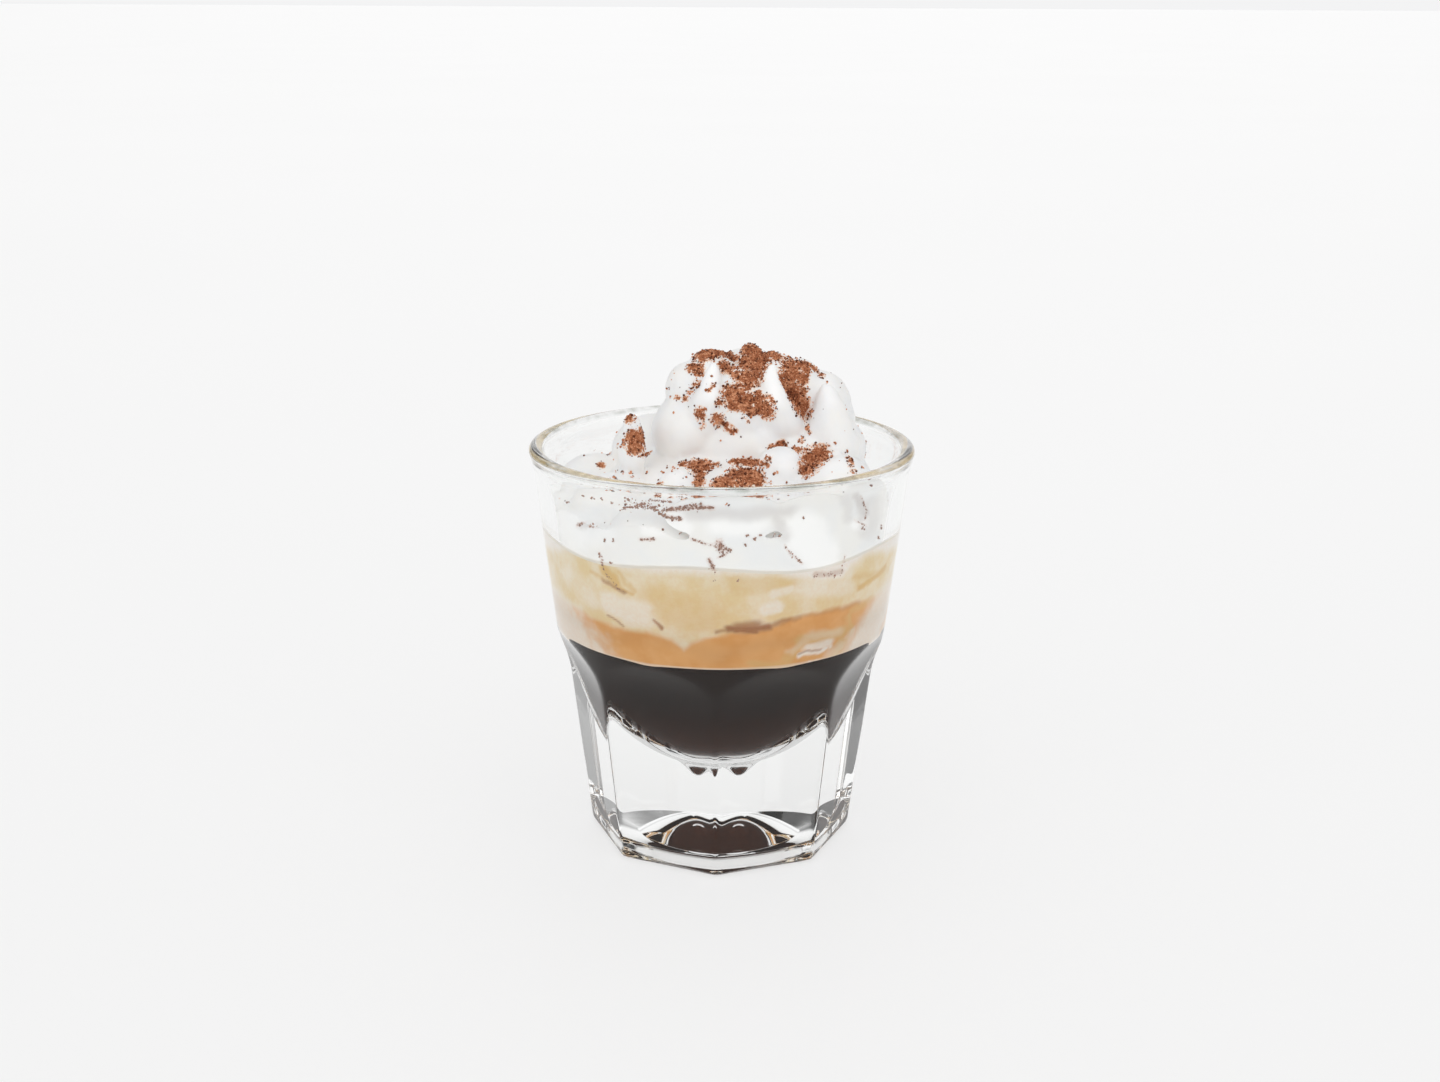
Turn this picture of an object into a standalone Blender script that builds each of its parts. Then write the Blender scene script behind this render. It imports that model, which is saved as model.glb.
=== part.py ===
"""Coffee with whipped cream in a small faceted tumbler.

A thick pressed tumbler with eight arched facets holds dark coffee, a layer of crema, a layer of
coffee-stained milk foam and a heap of whipped cream. Metres, +Z up, with the origin at the centre
of the foot and one of the eight ridges on the -Y side. An azimuth here starts at -Y and turns
towards +X.
"""

import math

import bmesh
import bpy
from mathutils import Euler, Matrix, Vector

MM = 0.001

# Tumbler, outside
GLASS_HEIGHT = 79 * MM
CONE_RADIUS = 27.0 * MM  # the round body's radius, carried down to the foot's height
CONE_SLOPE = 0.1214  # how much the round body widens for each unit of height
BEAD_RADIUS = 1.0 * MM  # half the rim's rounding in height
BEAD_WIDTH = 1.35 * MM  # and across the wall
BEAD_REACH = 36.9 * MM  # the rim's largest radius
NECK_DROP = 5.0 * MM  # how far below the top the rim's bulge starts
FACETS = 8
RIDGE_RADIUS = 25.95 * MM  # the ridges' distance from the axis at the foot
RIDGE_SLOPE = 0.124
SCOOP_START = 32 * MM  # above this height each flat facet curves outwards
SCOOP_RADIUS = 22 * MM
ARCH_LIMIT = 15 * MM  # the arches end within this height above the scoop's start
ARCH_SHARES = (0.4, 0.7, 0.9)  # rows of points between the scoop's start and the arches
FOOT_CHAMFER = 1.1 * MM
RECESS_RADIUS = 20.0 * MM  # a shallow recess within the foot's ring
RECESS_DEPTH = 1.6 * MM
RECESS_RIM = 2.6 * MM  # and the recess's depth at its outer edge
RECESS_SLANT = 0.5 * MM  # half the width over which the recess's edge runs down to the ring
PUNT_RADIUS = 13.0 * MM  # and a deeper hollow in the recess
PUNT_DEPTH = 7.0 * MM
PUNT_POWER = 1.7  # 2 makes the hollow's outline a parabola, and 1 a cone
PUNT_SHARES = (0.35, 0.7, 1.0)

# Tumbler, inside: half an ellipsoid that runs into a straight, widening wall
WALL_RADIUS = 24.15 * MM  # the wall's radius, carried down to the foot's height
BOWL_BOTTOM = 18.3 * MM
BOWL_RISE = 44.0 * MM  # the ellipsoid's half height
BOWL_STEPS = 14
BOWL_STEP_POWER = 1.4  # above 1, the steps crowd towards the bottom
DIMPLE_DEPTH = 3.0 * MM  # a soft dimple in the middle of the bowl
DIMPLE_WIDTH = 3.0 * MM

# Contents, as heights above the foot
GAP = 0.3 * MM  # clearance that touching solids keep
COFFEE_TOP = 43.5 * MM
CREMA_TOP = 51.8 * MM
CREMA_LEAN = 1.9 * MM  # the crema stands this much higher on the +X side
CREMA_WAVE = 0.6 * MM
FOAM_TOP = 62.6 * MM
FOAM_WAVE = 0.7 * MM
HEAP_CEILING = 110 * MM  # above everything, for the form that trims the cream

# Fineness of the faceted solids
TURN_STEPS = 72
LAYER_STEPS = 48
CREAM_VOXEL = 1.9 * MM
CREAM_SMOOTHING = 3

COLOURS = {
    "tumbler": ((0.93, 0.96, 0.95, 1.0), 0.02),
    "coffee": ((0.016, 0.009, 0.007, 1.0), 0.12),
    "crema": ((0.50, 0.24, 0.09, 1.0), 0.45),
    "milk_foam": ((0.67, 0.55, 0.36, 1.0), 0.5),
    "whipped_cream": ((0.90, 0.89, 0.87, 1.0), 0.55),
}


def clear_scene():
    for obj in list(bpy.data.objects):
        bpy.data.objects.remove(obj, do_unlink=True)


def material(name):
    colour, roughness = COLOURS[name]
    made = bpy.data.materials.new(name)
    made.use_nodes = True
    shader = made.node_tree.nodes["Principled BSDF"]
    shader.inputs["Base Color"].default_value = colour
    shader.inputs["Roughness"].default_value = roughness
    shader.inputs["Metallic"].default_value = 0.0
    return made


def object_from(bm, name, smooth=True):
    """Turns a bmesh into a linked object with outward normals."""
    bmesh.ops.recalc_face_normals(bm, faces=bm.faces)
    mesh = bpy.data.meshes.new(name)
    bm.to_mesh(mesh)
    bm.free()
    if smooth:
        mesh.shade_smooth()
        mesh.set_sharp_from_angle(angle=math.radians(30))
    obj = bpy.data.objects.new(name, mesh)
    bpy.context.scene.collection.objects.link(obj)
    if name in COLOURS:
        mesh.materials.append(material(name))
    return obj


def as_guide(obj):
    """Marks an object as a cutter or form that isn't part of the model."""
    obj.hide_render = True
    obj.display_type = "WIRE"
    return obj


def spot(radius, azimuth, height):
    """The point at a radius and azimuth, where azimuth 0 is -Y and a quarter turn is +X."""
    return Vector((radius * math.sin(azimuth), -radius * math.cos(azimuth), height))


def bridge_rings(bm, rings):
    """Joins rows of vertices into one closed skin. A row of one vertex is a pole."""
    for lower, upper in zip(rings, rings[1:]):
        count = max(len(lower), len(upper))
        for i in range(count):
            j = (i + 1) % count
            if len(lower) == 1:
                bm.faces.new((lower[0], upper[j], upper[i]))
            elif len(upper) == 1:
                bm.faces.new((lower[i], lower[j], upper[0]))
            else:
                bm.faces.new((lower[i], lower[j], upper[j], upper[i]))


def turned(name, profile, steps=TURN_STEPS):
    """A solid of revolution from (radius, height) points that start and end on the axis."""
    bm = bmesh.new()
    rings = []
    for radius, height in profile:
        count = 1 if radius < 1e-6 else steps
        rings.append([bm.verts.new(spot(radius, 2 * math.pi * i / steps, height)) for i in range(count)])
    bridge_rings(bm, rings)
    return object_from(bm, name)


def arc(centre, radius, start, end, steps):
    """Points of a circular arc in the (radius, height) plane, with angles in degrees from +radius."""
    points = []
    for i in range(steps + 1):
        angle = math.radians(start + (end - start) * i / steps)
        points.append((centre[0] + radius * math.cos(angle), centre[1] + radius * math.sin(angle)))
    return points


def cone_radius(height):
    return CONE_RADIUS + CONE_SLOPE * height


# The ellipsoid's centre and half width, and the height at which the wall leaves it
BOWL_CENTRE = BOWL_BOTTOM + BOWL_RISE
WALL_AT_CENTRE = WALL_RADIUS + CONE_SLOPE * BOWL_CENTRE
BOWL_REACH = math.sqrt(WALL_AT_CENTRE**2 - (CONE_SLOPE * BOWL_RISE) ** 2)
BOWL_END = BOWL_CENTRE - CONE_SLOPE * BOWL_RISE**2 / WALL_AT_CENTRE


def inner_radius(height, gap=0.0):
    """The inside's radius at a height, less a clearance."""
    if height >= BOWL_END:
        return WALL_RADIUS + CONE_SLOPE * height - gap
    drop = (BOWL_CENTRE - height) / BOWL_RISE
    return BOWL_REACH * math.sqrt(max(1 - drop**2, 0.0)) - gap


def bowl_profile(gap, top, dimple_depth):
    """The bowl from its lowest point up to a height, as (radius, height) points."""
    end = math.acos((BOWL_CENTRE - BOWL_END) / BOWL_RISE)
    last = math.acos((BOWL_CENTRE - min(top, BOWL_END)) / (BOWL_RISE - gap))
    angles = [end * (i / BOWL_STEPS) ** BOWL_STEP_POWER for i in range(BOWL_STEPS)]
    points = []
    for angle in [a for a in angles if a < last - 0.02] + [last]:
        radius = (BOWL_REACH - gap) * math.sin(angle)
        dimple = dimple_depth * math.exp(-((radius / DIMPLE_WIDTH) ** 2))
        points.append((radius, BOWL_CENTRE - (BOWL_RISE - gap) * math.cos(angle) - dimple))
    return points


def facet_distance(height):
    """How far a facet's middle lies from the axis: flat below, then scooped outwards."""
    flat = (RIDGE_RADIUS + RIDGE_SLOPE * height) * math.cos(math.pi / FACETS)
    rise = min(max(height - SCOOP_START, 0.0), 0.9 * SCOOP_RADIUS)
    return flat + SCOOP_RADIUS - math.sqrt(SCOOP_RADIUS**2 - rise**2)


def facet_radius(azimuth, height):
    """The octagon's distance from the axis at an azimuth, with ridges at multiples of 45 degrees."""
    span = 2 * math.pi / FACETS
    return facet_distance(height) / math.cos(azimuth % span - span / 2)


def arch_height(azimuth):
    """Where the facet below meets the round body above, found by halving."""
    halvings = 40
    low, high = SCOOP_START, SCOOP_START + ARCH_LIMIT
    for _ in range(halvings):
        middle = (low + high) / 2
        if facet_radius(azimuth, middle) < cone_radius(middle):
            low = middle
        else:
            high = middle
    return (low + high) / 2


def tumbler_column(azimuth):
    """One azimuth's closed outline from the punt round to the bowl, as (radius, height) points."""
    rise = PUNT_DEPTH - RECESS_DEPTH
    outline = [(PUNT_RADIUS * share, RECESS_DEPTH + rise * (1 - share**PUNT_POWER)) for share in PUNT_SHARES]
    outline += [(RECESS_RADIUS - RECESS_SLANT, RECESS_RIM), (RECESS_RADIUS + RECESS_SLANT, 0.0)]
    outline.append((facet_radius(azimuth, 0.0) - FOOT_CHAMFER, 0.0))
    outline.append((facet_radius(azimuth, FOOT_CHAMFER), FOOT_CHAMFER))
    outline.append((facet_radius(azimuth, SCOOP_START), SCOOP_START))
    arch = arch_height(azimuth)
    for share in ARCH_SHARES:
        height = SCOOP_START + share * (arch - SCOOP_START)
        outline.append((facet_radius(azimuth, height), height))
    neck = GLASS_HEIGHT - NECK_DROP
    outline += [(cone_radius(height), height) for height in (arch, (arch + neck) / 2, neck)]
    bead_height = GLASS_HEIGHT - BEAD_RADIUS
    for across, up in arc((0, 0), 1, -30, 190, 8):
        outline.append((BEAD_REACH - BEAD_WIDTH + BEAD_WIDTH * across, bead_height + BEAD_RADIUS * up))
    inner_neck = bead_height - 2 * BEAD_RADIUS
    outline.append((inner_radius(inner_neck), inner_neck))
    outline += bowl_profile(0.0, GLASS_HEIGHT, DIMPLE_DEPTH)[:0:-1]
    return outline


def make_tumbler():
    """The tumbler as columns of points, with a row of points laid along the arches."""
    bm = bmesh.new()
    azimuths = [2 * math.pi * i / TURN_STEPS for i in range(TURN_STEPS)]
    columns = [[bm.verts.new(spot(r, a, z)) for r, z in tumbler_column(a)] for a in azimuths]
    rings = [[bm.verts.new((0, 0, PUNT_DEPTH))]]
    rings += [list(row) for row in zip(*columns)]
    rings.append([bm.verts.new((0, 0, BOWL_BOTTOM - DIMPLE_DEPTH))])
    bridge_rings(bm, rings)
    return object_from(bm, "tumbler")


def make_coffee():
    """The dark coffee: the bowl's shape under a level top, with a shallower dimple that stays clear."""
    bowl = bowl_profile(GAP, COFFEE_TOP, 0.8 * DIMPLE_DEPTH)
    return turned("coffee", [(0.0, bowl[0][1])] + bowl[1:] + [(0.0, COFFEE_TOP)], LAYER_STEPS)


def crema_top(azimuth, share):
    """The crema's upper surface, which leans and waves more towards the wall."""
    lean = CREMA_LEAN * math.sin(azimuth)
    wave = CREMA_WAVE * math.sin(4 * azimuth + 0.8)
    return CREMA_TOP + share * (lean + wave)


def foam_top(azimuth, share):
    return FOAM_TOP + share * FOAM_WAVE * math.sin(5 * azimuth + 2.1)


def make_layer(name, low, high, steps=LAYER_STEPS):
    """A disc between two wavy surfaces that fills the inside from wall to wall."""
    bm = bmesh.new()
    shares = (0.4, 0.75, 1.0)
    side_rows = 3

    def ring(surface, share):
        made = []
        for i in range(steps):
            azimuth = 2 * math.pi * i / steps
            height = surface(azimuth, share)
            made.append(bm.verts.new(spot(share * inner_radius(height, GAP), azimuth, height)))
        return made

    def side_ring(part):
        made = []
        for i in range(steps):
            azimuth = 2 * math.pi * i / steps
            height = low(azimuth, 1.0) + part * (high(azimuth, 1.0) - low(azimuth, 1.0))
            made.append(bm.verts.new(spot(inner_radius(height, GAP), azimuth, height)))
        return made

    rings = [[bm.verts.new((0, 0, low(0.0, 0.0)))]]
    rings += [ring(low, share) for share in shares]
    rings += [side_ring((i + 1) / (side_rows + 1)) for i in range(side_rows)]
    rings += [ring(high, share) for share in reversed(shares)]
    rings.append([bm.verts.new((0, 0, high(0.0, 0.0)))])
    bridge_rings(bm, rings)
    return object_from(bm, name)


def make_crema():
    def floor(azimuth, share):
        return COFFEE_TOP + GAP

    return make_layer("crema", floor, crema_top)


def make_milk_foam():
    def floor(azimuth, share):
        return crema_top(azimuth, share) + GAP

    return make_layer("milk_foam", floor, foam_top)


# The lumps of cream as (centre, half sizes, turn about Z in degrees), in millimetres
MOUND = ((4.0, -1.0, 66.0), (29.0, 29.0, 14.0), 0)
CORE = ((6.0, 1.0, 79.0), (17.0, 14.5, 11.5), 0)
HEAD_LUMPS = (
    ((-5.6, -2.0, 88.8), (5.0, 6.5, 5.8), 20),
    ((-6.2, -3.0, 82.0), (7.0, 9.5, 7.2), 0),
    ((-2.0, 0.5, 92.0), (4.6, 6.0, 4.8), 0),
    ((10.0, 0.5, 91.3), (4.8, 6.5, 4.9), 0),
    ((15.0, 1.0, 90.0), (4.2, 6.5, 5.2), 0),
    ((18.2, 0.0, 86.6), (6.4, 8.0, 6.4), 0),
    ((20.6, 0.0, 82.0), (5.2, 8.5, 6.6), 0),
    ((20.0, 0.5, 76.0), (6.0, 10.0, 6.5), 0),
    ((4.2, -4.0, 86.0), (8.0, 8.6, 8.6), 0),
    ((0.0, 11.5, 85.5), (9.0, 7.5, 7.6), 25),
    ((12.5, 12.0, 83.5), (9.5, 7.5, 7.8), -20),
    ((4.5, 6.5, 90.0), (6.5, 6.5, 6.0), 0),
)
SHOULDER_LUMPS = (
    ((-16.4, -11.5, 79.5), (2.8, 3.2, 4.6), 0),
    ((-14.0, 9.0, 75.0), (8.0, 8.0, 6.8), -30),
    ((-7.3, -21.0, 73.6), (4.8, 4.6, 4.6), 0),
    ((3.5, -18.5, 73.8), (8.5, 6.5, 4.8), 5),
    ((22.0, -18.0, 73.4), (8.0, 7.0, 7.2), 30),
    ((11.4, -15.6, 77.2), (4.6, 4.4, 4.6), 0),
    ((15.5, -11.0, 77.5), (6.0, 5.0, 5.0), 0),
    ((20.0, 15.0, 74.5), (8.5, 8.0, 7.5), 20),
    ((3.0, 20.0, 74.0), (10.0, 8.0, 7.5), 0),
    ((-19.0, -14.0, 71.0), (8.0, 7.0, 5.0), 30),
    ((2.0, -33.0, 73.2), (11.0, 5.0, 4.3), 0),
    ((16.5, -29.0, 73.0), (8.0, 5.0, 4.2), 30),
)
# Folds and peaks as lines of (x, y, z, half width), in millimetres
FOLDS = (
    ((-1.4, -7.6, 95.0, 0.8), (-1.8, -8.8, 92.0, 1.9), (-2.4, -9.4, 88.8, 2.9), (-3.2, -7.5, 84.5, 4.4)),
    ((9.5, -7.8, 95.2, 0.8), (9.4, -9.2, 92.4, 1.9), (10.0, -10.2, 89.4, 2.8), (11.6, -9.0, 84.5, 3.8)),
    ((21.6, -14.6, 80.4, 0.8), (19.6, -16.8, 78.4, 1.6), (16.6, -19.0, 75.6, 2.2)),
    ((5.2, -0.8, 96.2, 2.1), (5.2, -1.2, 93.5, 3.2), (5.2, -2.0, 90.0, 5.0)),
    ((19.6, -8.2, 90.6, 1.6), (20.2, -8.6, 86.5, 3.4), (20.6, -8.4, 80.5, 5.4)),
    ((-16.3, -11.3, 84.8, 1.6), (-16.4, -11.3, 81.5, 2.4)),
    ((-5.0, 8.0, 93.6, 1.4), (-5.0, 8.4, 90.5, 2.8), (-5.6, 9.0, 86.0, 4.6)),
    ((8.5, 11.0, 93.2, 1.4), (9.0, 11.6, 90.0, 2.8), (9.6, 12.0, 86.0, 4.8)),
    ((20.0, 9.5, 88.6, 1.5), (20.0, 10.0, 85.5, 3.0), (19.6, 10.4, 80.5, 5.2)),
)
# Lumps pressed against the glass, as (azimuth in degrees, height, half width along the wall)
WALL_LUMPS = (
    (-55, 64.2, 9.5),
    (-24, 65.0, 10.0),
    (6, 64.5, 9.0),
    (34, 66.0, 8.8),
    (62, 66.0, 8.6),
    (93, 64.8, 9.8),
    (124, 66.2, 9.0),
    (157, 65.0, 9.6),
    (190, 66.4, 9.2),
    (222, 65.2, 9.4),
    (254, 65.8, 9.2),
    (280, 64.2, 8.6),
)
WALL_LUMP_HEIGHT = 8.5 * MM
WALL_LUMP_DEPTH = 9.0 * MM
WALL_LUMP_AXIS = 26.0 * MM  # the wall lumps' distance from the tumbler's axis
BED_RADIUS = 36.0 * MM  # the bed of cream under the lumps, trimmed to the wall
BED_BASE = 56 * MM
BED_TOP = 69.0 * MM


def add_ball(bm, matrix, segments=20, rings=12):
    bmesh.ops.create_uvsphere(bm, u_segments=segments, v_segments=rings, radius=1.0, matrix=matrix)


def add_lump(bm, centre, half_sizes, turn):
    place = Matrix.Translation(Vector(centre) * MM) @ Euler((0, 0, math.radians(turn))).to_matrix().to_4x4()
    add_ball(bm, place @ Matrix.Diagonal((*(Vector(half_sizes) * MM), 1.0)))


def add_fold(bm, points):
    """A fold or peak: balls of changing size strung closely along a line."""
    spacing = 0.45
    for start, end in zip(points, points[1:]):
        start, end = Vector(start), Vector(end)
        length = (end - start).xyz.length
        balls = max(2, math.ceil(length / (spacing * min(start.w, end.w))))
        for i in range(balls + 1):
            x, y, z, size = start.lerp(end, i / balls)
            place = Matrix.Translation(Vector((x, y, z)) * MM)
            add_ball(bm, place @ Matrix.Scale(size * MM, 4), segments=12, rings=8)


def add_wall_lumps(bm):
    for azimuth, height, half_width in WALL_LUMPS:
        turn = math.radians(azimuth)
        place = Matrix.Translation(spot(WALL_LUMP_AXIS, turn, height * MM))
        place = place @ Euler((0, 0, turn)).to_matrix().to_4x4()
        add_ball(bm, place @ Matrix.Diagonal((half_width * MM, WALL_LUMP_DEPTH, WALL_LUMP_HEIGHT, 1.0)))


def heap_form():
    """The room the cream may take: inside the wall and above the foam."""

    def floor(azimuth, share):
        return foam_top(azimuth, share) + GAP

    def ceiling(azimuth, share):
        return HEAP_CEILING

    return as_guide(make_layer("heap_form", floor, ceiling))


def make_whipped_cream():
    """The heap: lumps and peaks on a bed, merged, softened and trimmed to the tumbler's inside."""
    bm = bmesh.new()
    bmesh.ops.create_cone(
        bm,
        cap_ends=True,
        segments=48,
        radius1=BED_RADIUS,
        radius2=BED_RADIUS,
        depth=BED_TOP - BED_BASE,
        matrix=Matrix.Translation((0, 0, (BED_TOP + BED_BASE) / 2)),
    )
    for lump in (MOUND, CORE) + HEAD_LUMPS + SHOULDER_LUMPS:
        add_lump(bm, *lump)
    for fold in FOLDS:
        add_fold(bm, fold)
    add_wall_lumps(bm)
    cream = object_from(bm, "whipped_cream")
    merge = cream.modifiers.new("merge", "REMESH")
    merge.mode = "VOXEL"
    merge.voxel_size = CREAM_VOXEL
    merge.use_smooth_shade = True
    soften = cream.modifiers.new("soften", "SMOOTH")
    soften.factor = 0.5
    soften.iterations = CREAM_SMOOTHING
    trim = cream.modifiers.new("trim", "BOOLEAN")
    trim.operation = "INTERSECT"
    trim.solver = "EXACT"
    trim.object = heap_form()
    return cream


def main():
    clear_scene()
    make_tumbler()
    make_coffee()
    make_crema()
    make_milk_foam()
    make_whipped_cream()


main()
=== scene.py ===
"""Coffee with whipped cream in a small faceted tumbler: the looks.

Lengths are in metres, in the frame of the solids: +Z up, the origin under the foot, and one of
the tumbler's ridges on the -Y side. An azimuth starts at -Y and turns towards +X.
"""
import math

import bmesh
import bpy
import numpy as np
from mathutils import Euler, Matrix, Vector, noise
from mathutils.bvhtree import BVHTree


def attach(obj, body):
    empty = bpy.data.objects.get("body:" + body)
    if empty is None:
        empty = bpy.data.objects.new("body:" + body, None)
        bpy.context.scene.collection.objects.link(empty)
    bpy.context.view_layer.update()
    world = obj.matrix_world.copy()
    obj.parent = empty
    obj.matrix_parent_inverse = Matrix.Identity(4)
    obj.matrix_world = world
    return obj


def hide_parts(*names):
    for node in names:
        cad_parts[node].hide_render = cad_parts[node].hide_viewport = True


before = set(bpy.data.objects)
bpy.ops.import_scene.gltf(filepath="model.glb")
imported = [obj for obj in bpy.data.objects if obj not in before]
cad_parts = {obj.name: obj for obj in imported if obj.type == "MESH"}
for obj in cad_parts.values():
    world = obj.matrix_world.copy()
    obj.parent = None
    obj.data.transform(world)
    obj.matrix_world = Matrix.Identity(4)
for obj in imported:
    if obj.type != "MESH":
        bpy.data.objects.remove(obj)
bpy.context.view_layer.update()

MM = 0.001

# The tumbler's outside, as in the solids
GLASS_HEIGHT = 79.0 * MM
CONE_RADIUS = 27.0 * MM
CONE_SLOPE = 0.1214
BEAD_RADIUS = 1.0 * MM  # half the rim's rounding in height
BEAD_WIDTH = 1.35 * MM  # and across the wall
BEAD_REACH = 36.9 * MM
RIM_ARC = (-25, 200, 27)  # the rim's rounding from outside to inside in degrees, and its rows
NECK_DROP = 5.0 * MM
ARCH_ROWS = (0.1, 0.2, 0.3, 0.4, 0.5, 0.6, 0.68, 0.76, 0.82, 0.87, 0.91, 0.94, 0.965, 0.985, 1.0)
ABOVE_ARCH = (0.15, 0.35, 0.6, 1.0, 1.6, 2.4)  # rows above the arches, in millimetres
FACETS = 8
RIDGE_RADIUS = 25.95 * MM
RIDGE_SLOPE = 0.124
RIDGE_SHARPNESS = 110.0
SCOOP_START = 32.0 * MM
SCOOP_RADIUS = 22.0 * MM
ARCH_LIMIT = 15.0 * MM
ARCH_SHARPNESS = 4.0 / MM
FOOT_ROUND = 1.2 * MM
RECESS_RADIUS = 20.0 * MM  # a shallow recess within the foot's ring
RECESS_DEPTH = 1.6 * MM
RECESS_RIM = 2.6 * MM  # and the recess's depth at its outer edge
RECESS_EDGE = ((-0.9, 1.0), (-0.35, 0.9), (0.0, 0.65), (0.15, 0.35), (0.4, 0.1), (0.9, 0.0))
PUNT_RADIUS = 13.0 * MM  # and a deeper hollow in the recess
PUNT_DEPTH = 7.0 * MM
PUNT_POWER = 1.7

# The tumbler's inside and the contents
WALL_RADIUS = 24.15 * MM  # the straight inner wall's radius, carried down to the foot's height
BOWL_BOTTOM = 18.3 * MM
BOWL_RISE = 44.0 * MM  # the bowl is half an ellipsoid of this height, which the wall touches
DIMPLE_DEPTH = 3.0 * MM  # a soft dimple in the middle of the bowl
DIMPLE_WIDTH = 3.0 * MM
REACH = 0.08 * MM  # how far the coffee and its foams reach into the wall, which they wet
FILM = 0.12 * MM  # the film of air between the wall and the cream
FOOT_START = 0.2 * MM  # the film opens between these heights above the foam
FOOT_END = 1.2 * MM
COFFEE_TOP = 43.5 * MM
CREMA_TOP = 51.8 * MM
CREMA_LEAN = 1.9 * MM  # the crema stands this much higher on the +X side
CREMA_WAVE = 0.6 * MM
FOAM_TOP = 62.6 * MM
FOAM_WAVE = 0.7 * MM

COLUMNS = 288  # points round the tumbler and the coffee
LAYER_COLUMNS = 720  # points round the crema and the foam, fine enough for painted marks
LAYER_ROW = 0.3 * MM
CORNER = math.radians(60)  # edges sharper than this aren't shaded round

# The camera, as fitted to the photo: the tumbler's axis runs through its middle
PHOTO_WIDTH = 1440
PHOTO_HEIGHT = 1082
SENSOR = 36.0
PHOTO_TURN = math.radians(1.65)  # the camera's azimuth
CAMERA_BACK = 0.35
CAMERA_HEIGHT = 0.16
CAMERA_PITCH = math.radians(16.08)
CAMERA_ROLL = math.radians(0.28)
CAMERA_LENS = 46.75
CAMERA_SHIFT = -0.0009

# Colours, as linear red, green and blue. The foams have to be lighter than glass lets them look.
GLASS_TINT = (0.995, 1.0, 0.995)
RIM_SHADE = (0.40, 0.41, 0.36)  # painted shade on the rounded top of the rim: a dark olive tint for the look of the thick glass seen edge on
RIM_SHADE_START = 0.95 * MM  # it begins this far below the top, and is full at the other
RIM_SHADE_FULL = 0.3 * MM
RIM_SHADE_SHARE = 0.42  # how much of it the rim's glass takes, and how little at the least
RIM_SHADE_LEAST = 0.12
RIM_SHADE_NOISE = ((5 * MM, 1.1, (6, 3, 2)), (1.5 * MM, 1.0, (1, 7, 3)))  # sizes, strengths, places
GLASS_IOR = 1.5
GLASS_SHINE = (0.65, 0.65, 0.65)  # how strongly the glass mirrors light, against plain glass
DRINK_IOR = 1.4
COFFEE_DARK = (0.014, 0.008, 0.006)
COFFEE_BROWN = (0.04, 0.014, 0.007)
BROWN_HEIGHTS = (20 * MM, 40 * MM)  # the coffee is brown below the first, and dark above the second
FOAM_DEEP = (0.84, 0.71, 0.44)
FOAM_LIGHT = (0.90, 0.83, 0.66)
# pale foam, and also the colour of the painted highlight along the coffee's edge
FOAM_PALE_AND_HIGHLIGHT = (0.94, 0.935, 0.89)
FOAM_DARK = (0.36, 0.16, 0.08)
OCHRE = (0.76, 0.55, 0.24)
CREMA_DEEP = (0.77, 0.39, 0.13)
CREMA_LIGHT = (0.83, 0.47, 0.19)
CREAM_WARM = (0.87, 0.86, 0.84)
CREAM_COOL = (0.84, 0.845, 0.85)
CREAM_WET = (0.985, 0.98, 0.97)
CREAM_HIGHLIGHT = (0.97, 0.965, 0.96)  # painted highlight on the cream at the glass, and on the heap's lit peaks
# painted shade on the cream at the glass
CREAM_SHADE = (0.62, 0.59, 0.58)
CREAM_FOOT = (0.93, 0.88, 0.77)  # where the cream meets the foam
STAIN = (0.88, 0.56, 0.36)
COCOA_DARK = (0.115, 0.036, 0.018)
COCOA_MID = (0.37, 0.125, 0.055)
COCOA_LIGHT = (0.68, 0.32, 0.175)
WET_DARK = (0.25, 0.135, 0.1)  # cocoa wetted at the glass
WET_LIGHT = (0.62, 0.42, 0.35)
MIDDLING = (0.35, 0.65)  # the middle of a noise's range, over which one colour passes into another
COCOA_NEAR = (0.06, 0.26)  # the painted cocoa from which noise may put powder on the cream
COCOA_COVERED = (1.6, 1.7)  # the density, noise included, that hides the cream
COCOA_STAINED = (1.36, 1.68)  # and the density that stains it
COCOA_DARKER = (0.48, 0.38)  # the noise that makes cocoa darker, and lighter
COCOA_LIGHTER = (0.5, 0.62)
BACKDROP = (0.9, 0.9, 0.905)
FLOOR_SHADES = ((0.22, 0.22, 0.22), (0.24, 0.24, 0.24))
FLOOR_GLOW = 0.66
FLOOR_HALF = 60.0
LIGHT = 0.97
SOFT_LIGHT = 0.8  # the even light that all but the glass's own reflections get
PANEL = 1.6  # a brighter panel above the camera
OVERHEAD = (0.06, 0.26)  # the sine of the height at which the overhead light begins, and is full
BACK_PANEL = (0.86, 0.97)  # how far a direction must point to the back to meet the bright panel
DIM_LEFT = 0.0  # what glass shows of the studio's sides: darker at the left than at the right
DIM_RIGHT = 0.25
LEFT_LIFT = 0.2  # how much higher the dim band reaches at the left, as a sine
LEFT_RANGE = (-0.2, -0.8)  # the directions between which it rises, as shares of X or Y
BACK_LIFT = 0.2  # and towards the back, where the rim's glass looks
BACK_RANGE = (0.0, 0.5)
SIDE_RANGE = (-0.8, 0.8)  # from the left's dimness to the right's
PANEL_FRONT = (-0.2, -0.5)  # the front panel's edges: towards the camera, at its bottom and its top
PANEL_LOW = (0.2, 0.35)
PANEL_HIGH = (0.9, 0.8)

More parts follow.
